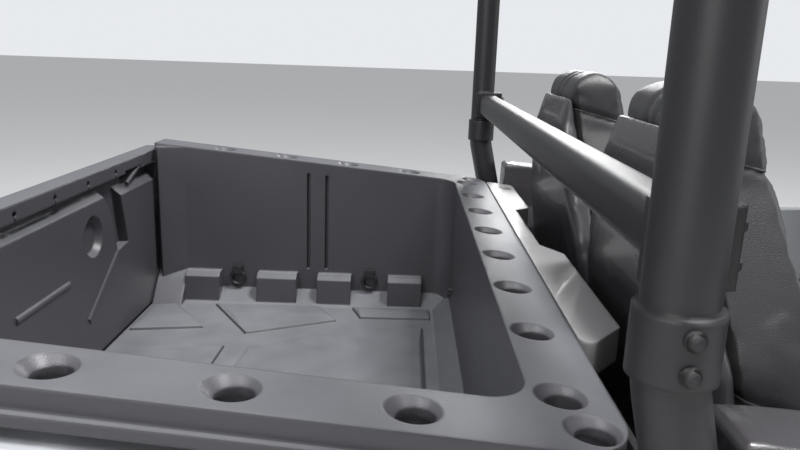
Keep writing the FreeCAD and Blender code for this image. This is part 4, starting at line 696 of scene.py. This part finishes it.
@dataclass
class Upholsterer:
    """Makes each seat's hard shell and its padded vinyl covers out of the CAD seat.

    A plane is a point and the way to the side that it cuts away. A seam is a point, its plane's normal and
    how deep it pulls the cover in.
    """

    materials: dict[str, bpy.types.Material]
    frame: dict
    behind: Plane = ((-0.331, SEAT_Y, 0.725), (-0.9877, 0.0, -0.1562))
    fold: Plane = ((-0.25, SEAT_Y, 0.80), (-0.59, 0.0, 0.81))
    pan: Plane = ((0.0, SEAT_Y, 0.748), (0.0, 0.0, -1.0))
    back_seams: Seams = (
        ((0.0, SEAT_Y + 0.155, 0.0), (0.0, 1.0, 0.12), 0.006),
        ((0.0, SEAT_Y - 0.155, 0.0), (0.0, 1.0, -0.12), 0.006),
        ((0.0, SEAT_Y, 1.285), (0.25, 0.0, 1.0), 0.006),
        ((0.0, SEAT_Y, 1.05), (0.25, 0.0, 1.0), 0.004))
    cushion_seams: Seams = (
        ((0.0, SEAT_Y + 0.16, 0.0), (0.0, 1.0, 0.0), 0.006),
        ((0.0, SEAT_Y - 0.16, 0.0), (0.0, 1.0, 0.0), 0.006),
        ((-0.07, SEAT_Y, 0.8), (1.0, 0.0, 0.1), 0.004))
    voxel: float = 0.0065
    shell_voxel: float = 0.009
    relax_rounds: int = 14
    relax_factor: float = 0.8
    shrink: float = 0.007
    swell: float = 0.010
    frames: int = 20
    quality: int = 4
    pressure: float = 4.0
    stiffness: float = 12.0
    channel_width: float = 0.013
    welt: float = 0.0017
    fill: float = 0.7

    def _piece(self, name: str, mesh: bmesh.types.BMesh, slot: str) -> bpy.types.Object:
        """Link a mesh as an object of the scene.

        Args:
            name: the object's name.
            mesh: its mesh, freed afterwards.
            slot: its material slot.

        Returns:
            The object.
        """
        data = bpy.data.meshes.new(name)
        mesh.to_mesh(data)
        mesh.free()
        data.polygons.foreach_set("use_smooth", [True] * len(data.polygons))
        data.materials.append(self.materials[slot])
        piece = bpy.data.objects.new(name, data)
        bpy.context.scene.collection.objects.link(piece)
        return piece

    @staticmethod
    def _flip(plane: Plane) -> Plane:
        """Turn a plane round, so that its other side is cut away.

        Args:
            plane: a point and the way to the side that is cut away.

        Returns:
            The same point with the opposite way.
        """
        point, away = plane
        return point, tuple(-value for value in away)

    @staticmethod
    def _cut(mesh: bmesh.types.BMesh, plane: Plane, clear: bool) -> list[bmesh.types.BMEdge]:
        """Cut a mesh along a plane.

        Args:
            mesh: the mesh.
            plane: a point and the plane's normal.
            clear: whether the side that the normal points to is taken away.

        Returns:
            The edges that lie in the plane.
        """
        whole = mesh.verts[:] + mesh.edges[:] + mesh.faces[:]
        cut = bmesh.ops.bisect_plane(mesh, geom=whole, dist=CUT_REACH, plane_co=plane[0], plane_no=plane[1],
                                     clear_outer=clear)
        return [item for item in cut["geom_cut"] if isinstance(item, bmesh.types.BMEdge)]

    def _part(self, *cuts: Plane) -> bmesh.types.BMesh:
        """Copy the left CAD seat and keep what lies on the chosen side of each plane.

        Args:
            cuts: for each plane a point and the way to the side that is cut away.

        Returns:
            The closed remainder.
        """
        mesh = bmesh.new()
        mesh.from_mesh(self.frame["nodes"]["seat_left"].data)
        bmesh.ops.remove_doubles(mesh, verts=mesh.verts[:], dist=DOUBLE_REACH)
        for plane in cuts:
            bmesh.ops.holes_fill(mesh, edges=self._cut(mesh, plane, True), sides=0)
        bmesh.ops.recalc_face_normals(mesh, faces=mesh.faces[:])
        return mesh

    def _apply(self, piece: bpy.types.Object) -> None:
        """Bake the modifiers of a piece into its mesh.

        Args:
            piece: the piece.
        """
        seen = piece.evaluated_get(bpy.context.evaluated_depsgraph_get())
        data = bpy.data.meshes.new_from_object(seen)
        piece.modifiers.clear()
        piece.data = data

    def _round(self, piece: bpy.types.Object, voxel: float) -> None:
        """Remesh a piece evenly and round its corners off.

        Args:
            piece: the piece.
            voxel: size of the new faces.
        """
        remesh = piece.modifiers.new("even mesh", "REMESH")
        remesh.mode, remesh.voxel_size, remesh.use_smooth_shade = "VOXEL", voxel, True
        relax = piece.modifiers.new("worn corners", "SMOOTH")
        relax.iterations, relax.factor = self.relax_rounds, self.relax_factor
        self._apply(piece)

    def _stuff(self, piece: bpy.types.Object) -> None:
        """Remesh a pad finely, shrink it, and let a cloth simulation fill it out again.

        Args:
            piece: the pad's hard-edged form.
        """
        self._round(piece, self.voxel)
        data = piece.data
        rest = [vert.co - vert.normal * self.shrink for vert in data.vertices]
        data.vertices.foreach_set("co", [value for spot in rest for value in spot])
        data.update()
        cloth = piece.modifiers.new("stuffing", "CLOTH")
        settings = cloth.settings
        settings.quality, settings.use_pressure = self.quality, True
        settings.uniform_pressure_force = self.pressure
        settings.effector_weights.gravity = 0.0
        settings.tension_stiffness = settings.compression_stiffness = self.stiffness
        cloth.collision_settings.use_collision = False
        scene = bpy.context.scene
        scene.frame_end = self.frames
        for frame in range(1, self.frames + 1):
            scene.frame_set(frame)
        self._apply(piece)
        moved = []
        for vert, home in zip(piece.data.vertices, rest):
            step = vert.co - home
            reach = min(1.0, self.swell / step.length) if step.length else 1.0
            moved += [*(home + step * reach)]
        piece.data.vertices.foreach_set("co", moved)
        piece.data.update()

    def _channel(self, piece: bpy.types.Object, seams: Seams) -> None:
        """Draw the cover in along its seams, as a sewn channel does.

        Args:
            piece: the stuffed pad.
            seams: for each seam a point, the normal of its plane, and how deep it pulls.
        """
        moved = []
        for vert in piece.data.vertices:
            spot = vert.co.copy()
            for point, normal, depth in seams:
                away = abs((vert.co - Vector(point)).dot(Vector(normal).normalized()))
                if away < self.channel_width:
                    spot -= vert.normal * depth * (1.0 - away / self.channel_width) ** 2
            moved += [*spot]
        piece.data.vertices.foreach_set("co", moved)
        piece.data.update()

    @staticmethod
    def _chains(rim: list[bmesh.types.BMEdge]) -> list[list[bmesh.types.BMVert]]:
        """Join edges end to end.

        Args:
            rim: the edges, in any order.

        Returns:
            The points of each chain in turn, the first one again at the end of a closed chain.
        """
        left, chains = dict.fromkeys(rim), []
        while left:
            edge = next(iter(left))
            chain = list(edge.verts)
            while edge is not None:
                del left[edge]
                edge = next((link for link in chain[-1].link_edges if link in left), None)
                if edge is not None:
                    chain.append(edge.other_vert(chain[-1]))
            chains.append(chain)
        return chains

    def _thread(self, piece: bpy.types.Object, seams: Seams, name: str) -> bpy.types.Object:
        """Lay a welt of piping along each seam of a pad.

        Args:
            piece: the pad with its channels.
            seams: the same seams as its channels.
            name: name of the new piece.

        Returns:
            The piping as one piece.
        """
        curve = bpy.data.curves.new(name, "CURVE")
        curve.dimensions, curve.bevel_depth, curve.bevel_resolution = "3D", self.welt, 1
        for point, normal, _ in seams:
            mesh = bmesh.new()
            mesh.from_mesh(piece.data)
            for chain in self._chains(self._cut(mesh, (point, normal), False)):
                line = curve.splines.new("POLY")
                closed = chain[-1] == chain[0]
                spots = [vert.co.copy() for vert in (chain[:-1] if closed else chain)]
                line.points.add(len(spots) - 1)
                line.use_cyclic_u = closed
                line.points.foreach_set("co", [value for spot in spots for value in (*spot, 1.0)])
            mesh.free()
        holder = bpy.data.objects.new(f"{name}_path", curve)
        bpy.context.scene.collection.objects.link(holder)
        seen = holder.evaluated_get(bpy.context.evaluated_depsgraph_get())
        data = bpy.data.meshes.new_from_object(seen)
        bpy.data.objects.remove(holder)
        data.materials.clear()
        data.materials.append(self.materials["piping"])
        data.polygons.foreach_set("use_smooth", [True] * len(data.polygons))
        piping = bpy.data.objects.new(name, data)
        bpy.context.scene.collection.objects.link(piping)
        return piping

    def build(self) -> None:
        """Make both seats."""
        forms = {
            "seat_back": (self._part(self.behind, self._flip(self.fold)), self.back_seams),
            "seat_cushion": (self._part(self.fold, self.pan), self.cushion_seams),
        }
        shell = self._part(self._flip(self.behind))
        rest = bpy.data.meshes.new("seat_pan_form")
        lower = self._part(self._flip(self.pan), self.behind)
        lower.to_mesh(rest)
        lower.free()
        shell.from_mesh(rest)
        hard = self._piece("seat_shell", shell, "trim")
        self._round(hard, self.shell_voxel)
        made = [(hard, "trim", None)]
        for name, (mesh, seams) in forms.items():
            pad = self._piece(f"{name}_pad", mesh, "seat")
            self._stuff(pad)
            self._channel(pad, seams)
            made.append((pad, "seat", self.fill))
            made.append((self._thread(pad, seams, f"{name}_piping"), "seat", None))
        for piece, slot, fill in made:
            other = bpy.data.objects.new(f"{piece.name}_right", piece.data.copy())
            bpy.context.scene.collection.objects.link(other)
            other.data.transform(Matrix.Translation((0.0, -2.0 * SEAT_Y, 0.0)))
            piece.name = f"{piece.name}_left"
            for one, node in ((piece, "seat_left"), (other, "seat_right")):
                if fill is None:
                    one.modifiers.new("crisp corners", "EDGE_SPLIT").split_angle = SPLIT_ANGLE
                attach(one, "chassis")
                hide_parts(node)
        LOG.info("seats upholstered")


@dataclass
class WheelFittings:
    """The cap, the nuts and the clamp ring's bolts on each wheel."""

    hub_face: float = 0.752
    cap_height: float = 0.010
    cap_radii: Span = (0.017, 0.014)
    nuts: int = 4
    nut_circle: float = 0.0265
    nut_size: float = 0.006
    ring_face: float = 0.780
    ring_bolts: int = 16
    ring_circle: float = 0.1845
    ring_bolt_size: float = 0.0045

    def build(self, bench: Bench) -> None:
        """Make the fittings of all four wheels.

        Args:
            bench: makes the pieces.
        """
        rows = ((self.nuts, self.nut_circle, self.nut_size, self.hub_face),
                (self.ring_bolts, self.ring_circle, self.ring_bolt_size, self.ring_face))
        for end, x in AXLES:
            for side, way in SIDES:
                top = self.hub_face + self.cap_height
                bench.rod((x, self.hub_face * way, AXLE_Z), (x, top * way, AXLE_Z), *self.cap_radii)
                for count, radius, size, face in rows:
                    for step in range(count):
                        turn = math.tau * (step + 0.5) / count
                        spot = (x + radius * math.sin(turn), face * way, AXLE_Z + radius * math.cos(turn))
                        bench.bolt(spot, (0.0, way, 0.0), size)
                bench.done(f"wheel_nuts_{end}_{side}", "zinc", f"wheel_{end}_{side}")


@dataclass
class Dampers:
    """The dampers with wound springs that take the place of the plain coil-over solids.

    Each stage of a damper is where it starts and stops, as shares of the damper's length, and its radius.
    """

    ends: tuple[tuple[str, float, float, float], ...] = (
        ("front", 1.204, 0.2513, 0.7904), ("rear", -1.114, 0.3313, 0.7917))
    foot_y: float = 0.392
    foot_z: float = 0.3453
    body: Stage = (0.0, 0.36, 0.019)
    lower_seat: Stage = (0.36, 0.40, 0.040)
    piston_rod: Stage = (0.40, 0.95, 0.010)
    sleeve: Stage = (0.60, 0.98, 0.022)
    upper_seat: Stage = (0.93, 0.96, 0.040)
    eye_size: float = 0.022
    pin_size: float = 0.010
    coil_radius: float = 0.034
    wire: float = 0.006
    turns: float = 7.0
    coil_start: float = 0.41
    coil_share: float = 0.51

    def _damper(self, bench: Bench, foot: Vector, head: Vector) -> None:
        """Add one damper with the eye and pin at each end.

        Args:
            bench: makes the pieces.
            foot: its lower mount.
            head: its upper mount.
        """
        along, half = head - foot, Vector((self.eye_size, 0.0, 0.0))
        stages = (self.body, self.lower_seat, self.piston_rod, self.sleeve, self.upper_seat)
        for start, stop, radius in stages:
            bench.rod(foot + along * start, foot + along * stop, radius)
        for spot in (foot, head):
            bench.rod(spot - half, spot + half, self.eye_size)
            bench.bolt(spot + half, (1.0, 0.0, 0.0), self.pin_size)

    def build(self, bench: Bench) -> None:
        """Make the dampers and springs of both axles.

        Args:
            bench: makes the pieces.
        """
        for end, x, head_y, head_z in self.ends:
            spans = [(Vector((x, self.foot_y * way, self.foot_z)), Vector((x, head_y * way, head_z)))
                     for _, way in SIDES]
            for foot, head in spans:
                self._damper(bench, foot, head)
            bench.done(f"{end}_dampers", "steel", "chassis", (f"{end}_shocks",))
            for foot, head in spans:
                along = head - foot
                bench.coil(foot + along * self.coil_start, along, self.coil_radius, self.wire, self.turns,
                           along.length * self.coil_share / self.turns)
            bench.done(f"{end}_springs", "spring", "chassis", (f"{end}_shocks",))


@dataclass
class CageBolts:
    """The bolts of the cage's coupling rings and of the cross bar's brackets."""

    size: float = 0.006
    ring_spot: Span = (-0.550, 0.733)
    ring_heights: Span = (1.281, 1.307)
    bracket_spot: Span = (-0.507, 0.676)
    bracket_heights: Span = (1.345, 1.375)

    def build(self, bench: Bench) -> None:
        """Make the bolts of both sides.

        Args:
            bench: makes the pieces.
        """
        for _, way in SIDES:
            for z in self.ring_heights:
                bench.bolt((self.ring_spot[0], self.ring_spot[1] * way, z), (0.0, way, 0.0), self.size)
            for z in self.bracket_heights:
                bench.bolt((self.bracket_spot[0], self.bracket_spot[1] * way, z), (1.0, 0.0, 0.0), self.size)
        bench.done("cage_bolts", "cage", "chassis")


@dataclass
class BedBolts:
    """The bolts in the inner face of the bed's front wall."""

    size: float = 0.007
    wall_x: float = -0.623
    spots: tuple[Span, ...] = ((0.50, 0.905), (0.47, 0.925))

    def build(self, bench: Bench) -> None:
        """Make the bolts of both sides.

        Args:
            bench: makes the pieces.
        """
        for _, way in SIDES:
            for y, z in self.spots:
                bench.bolt((self.wall_x, y * way, z), (-1.0, 0.0, 0.0), self.size)
        bench.done("bed_bolts", "plastic", "bed")


@dataclass
class TailgateFittings:
    """The paddle on the tailgate's outer face, and the rubber lip that closes the gap under its panel."""

    plate: Box = ((-1.4235, -0.09, 1.12), (-1.4185, 0.09, 1.19))
    paddle: Box = ((-1.4275, -0.07, 1.135), (-1.4225, 0.07, 1.175))
    lip: Box = ((-1.3930, -0.57, 0.838), (-1.3707, 0.57, 0.846))
    edge: float = 0.002

    def build(self, bench: Bench) -> None:
        """Make the handle and the lip.

        Args:
            bench: makes the pieces.
        """
        for low, high in (self.plate, self.paddle):
            bench.slab(low, high, self.edge)
        bench.done("tailgate_handle", "plastic", "tailgate")
        bench.slab(*self.lip, self.edge)
        bench.done("tailgate_seal", "grip", "bed")


@dataclass
class DoorHandles:
    """The pull handle on the outside of each door."""

    x: Span = (-0.29, -0.17)
    y: Span = (0.727, 0.737)
    z: Span = (1.035, 1.07)
    edge: float = 0.003

    def build(self, bench: Bench) -> None:
        """Make both handles.

        Args:
            bench: makes the pieces.
        """
        for side, way in SIDES:
            low, high = zip(self.x, sorted(y * way for y in self.y), self.z)
            bench.slab(low, high, self.edge)
            bench.done(f"door_handle_{side}", "plastic", f"door_{side}")


@dataclass
class CabFittings:
    """The gauge, switches, gear lever, pedals and grab bar."""

    gauge: Box = ((0.500, SEAT_Y, 1.150), (0.462, SEAT_Y, 1.172))
    gauge_radii: Span = (0.062, 0.058)
    glass: Box = ((0.4615, SEAT_Y, 1.1723), (0.4605, SEAT_Y, 1.1729))
    glass_radius: float = 0.050
    gauge_sides: int = 48
    dash_lean: float = math.radians(-32)
    switches: int = 5
    first_switch_y: float = -0.10
    switch_pitch: float = 0.032
    switch_width: float = 0.022
    switch_x: Span = (0.462, 0.474)
    switch_z: Span = (1.082, 1.112)
    switch_edge: float = 0.002
    boot: Box = ((0.180, 0.0, 0.690), (0.178, 0.0, 0.722))
    boot_radii: Span = (0.042, 0.018)
    lever: Box = ((0.178, 0.0, 0.72), (0.165, 0.0, 0.86))
    lever_radius: float = 0.008
    knob: Point = (0.163, 0.0, 0.872)
    knob_radius: float = 0.024
    pedal_middles: Span = (0.225, 0.325)
    pedal_lean: float = math.radians(-25)
    pedal_half: float = 0.034
    pedal_x: Span = (0.500, 0.508)
    pedal_z: Span = (0.500, 0.565)
    pedal_edge: float = 0.003
    arm: tuple[Span, Span] = ((0.508, 0.535), (0.585, 0.62))
    arm_radius: float = 0.007
    bar_ends: Span = (-0.42, -0.15)
    bar_spot: Span = (0.430, 1.02)
    bar_radius: float = 0.014
    stay_spot: Span = (0.480, 1.03)
    stay_radius: float = 0.011

    def _switches(self, bench: Bench) -> None:
        """Add the row of switches in the dash.

        Args:
            bench: makes the pieces.
        """
        lean = Matrix.Rotation(self.dash_lean, 4, "Y")
        for step in range(self.switches):
            y = self.first_switch_y + self.switch_pitch * step
            low, high = zip(self.switch_x, (y, y + self.switch_width), self.switch_z)
            bench.slab(low, high, self.switch_edge, lean)

    def _lever(self, bench: Bench) -> None:
        """Add the gear lever with its boot and knob.

        Args:
            bench: makes the pieces.
        """
        bench.rod(*self.boot, *self.boot_radii)
        bench.rod(*self.lever, self.lever_radius)
        bench.ball(self.knob, self.knob_radius)

    def _pedals(self, bench: Bench) -> None:
        """Add the two pedals on their arms.

        Args:
            bench: makes the pieces.
        """
        lean = Matrix.Rotation(self.pedal_lean, 4, "Y")
        (foot_x, foot_z), (top_x, top_z) = self.arm
        for y in self.pedal_middles:
            low, high = zip(self.pedal_x, (y - self.pedal_half, y + self.pedal_half), self.pedal_z)
            bench.slab(low, high, self.pedal_edge, lean)
            bench.rod((foot_x, y, foot_z), (top_x, y, top_z), self.arm_radius)

    def _grab_bar(self, bench: Bench) -> None:
        """Add the passenger's grab bar on its two stays.

        Args:
            bench: makes the pieces.
        """
        (x, z), (stay_x, stay_z) = self.bar_spot, self.stay_spot
        bench.rod((x, self.bar_ends[0], z), (x, self.bar_ends[1], z), self.bar_radius)
        for y in self.bar_ends:
            bench.ball((x, y, z), self.bar_radius)
            bench.rod((x, y, z), (stay_x, y, stay_z), self.stay_radius)

    def build(self, bench: Bench) -> None:
        """Make all that is fitted in the cab.

        Args:
            bench: makes the pieces.
        """
        bench.rod(*self.gauge, *self.gauge_radii, sides=self.gauge_sides)
        self._switches(bench)
        self._lever(bench)
        self._pedals(bench)
        self._grab_bar(bench)
        bench.done("cab_fittings", "plastic", "chassis")
        bench.rod(*self.glass, self.glass_radius, sides=self.gauge_sides)
        bench.done("gauge_glass", "lens", "chassis")


@dataclass
class Wardrobe:
    """Dresses the CAD nodes that stay in view."""

    frame: dict

    def build(self) -> dict[str, bpy.types.Material]:
        """Give every CAD node its finish and smooth shading.

        Returns:
            The materials by slot name.
        """
        maker = NodeGroupMaker()
        materials = {slot: finish.build(maker) for slot, finish in FINISHES.items()}
        for row in self.frame["record"]["subparts"]:
            node = self.frame["nodes"][row["node"]]
            node.data.materials.clear()
            node.data.materials.append(materials[OWN_FINISHES.get(row["node"], row["material_slot"])])
            node.data.polygons.foreach_set("use_smooth", [True] * len(node.data.polygons))
            node.modifiers.new("join triangles", "WELD").merge_threshold = WELD_REACH
            node.modifiers.new("crisp corners", "EDGE_SPLIT").split_angle = SPLIT_ANGLE
            LOG.info("dressed %s", row["node"])
        return materials


def main() -> None:
    """Build the studio and the vehicle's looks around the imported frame."""
    logging.basicConfig(level=logging.INFO, format="%(message)s")
    for leftover in list(bpy.data.objects):
        bpy.data.objects.remove(leftover)
    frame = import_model()
    Studio().build()
    materials = Wardrobe(frame).build()
    Upholsterer(materials, frame).build()
    bench = Bench(materials)
    for fittings in (WheelFittings(), Dampers(), CageBolts(), BedBolts(), TailgateFittings(), DoorHandles(),
                     CabFittings()):
        fittings.build(bench)


if __name__ == "__main__":
    main()
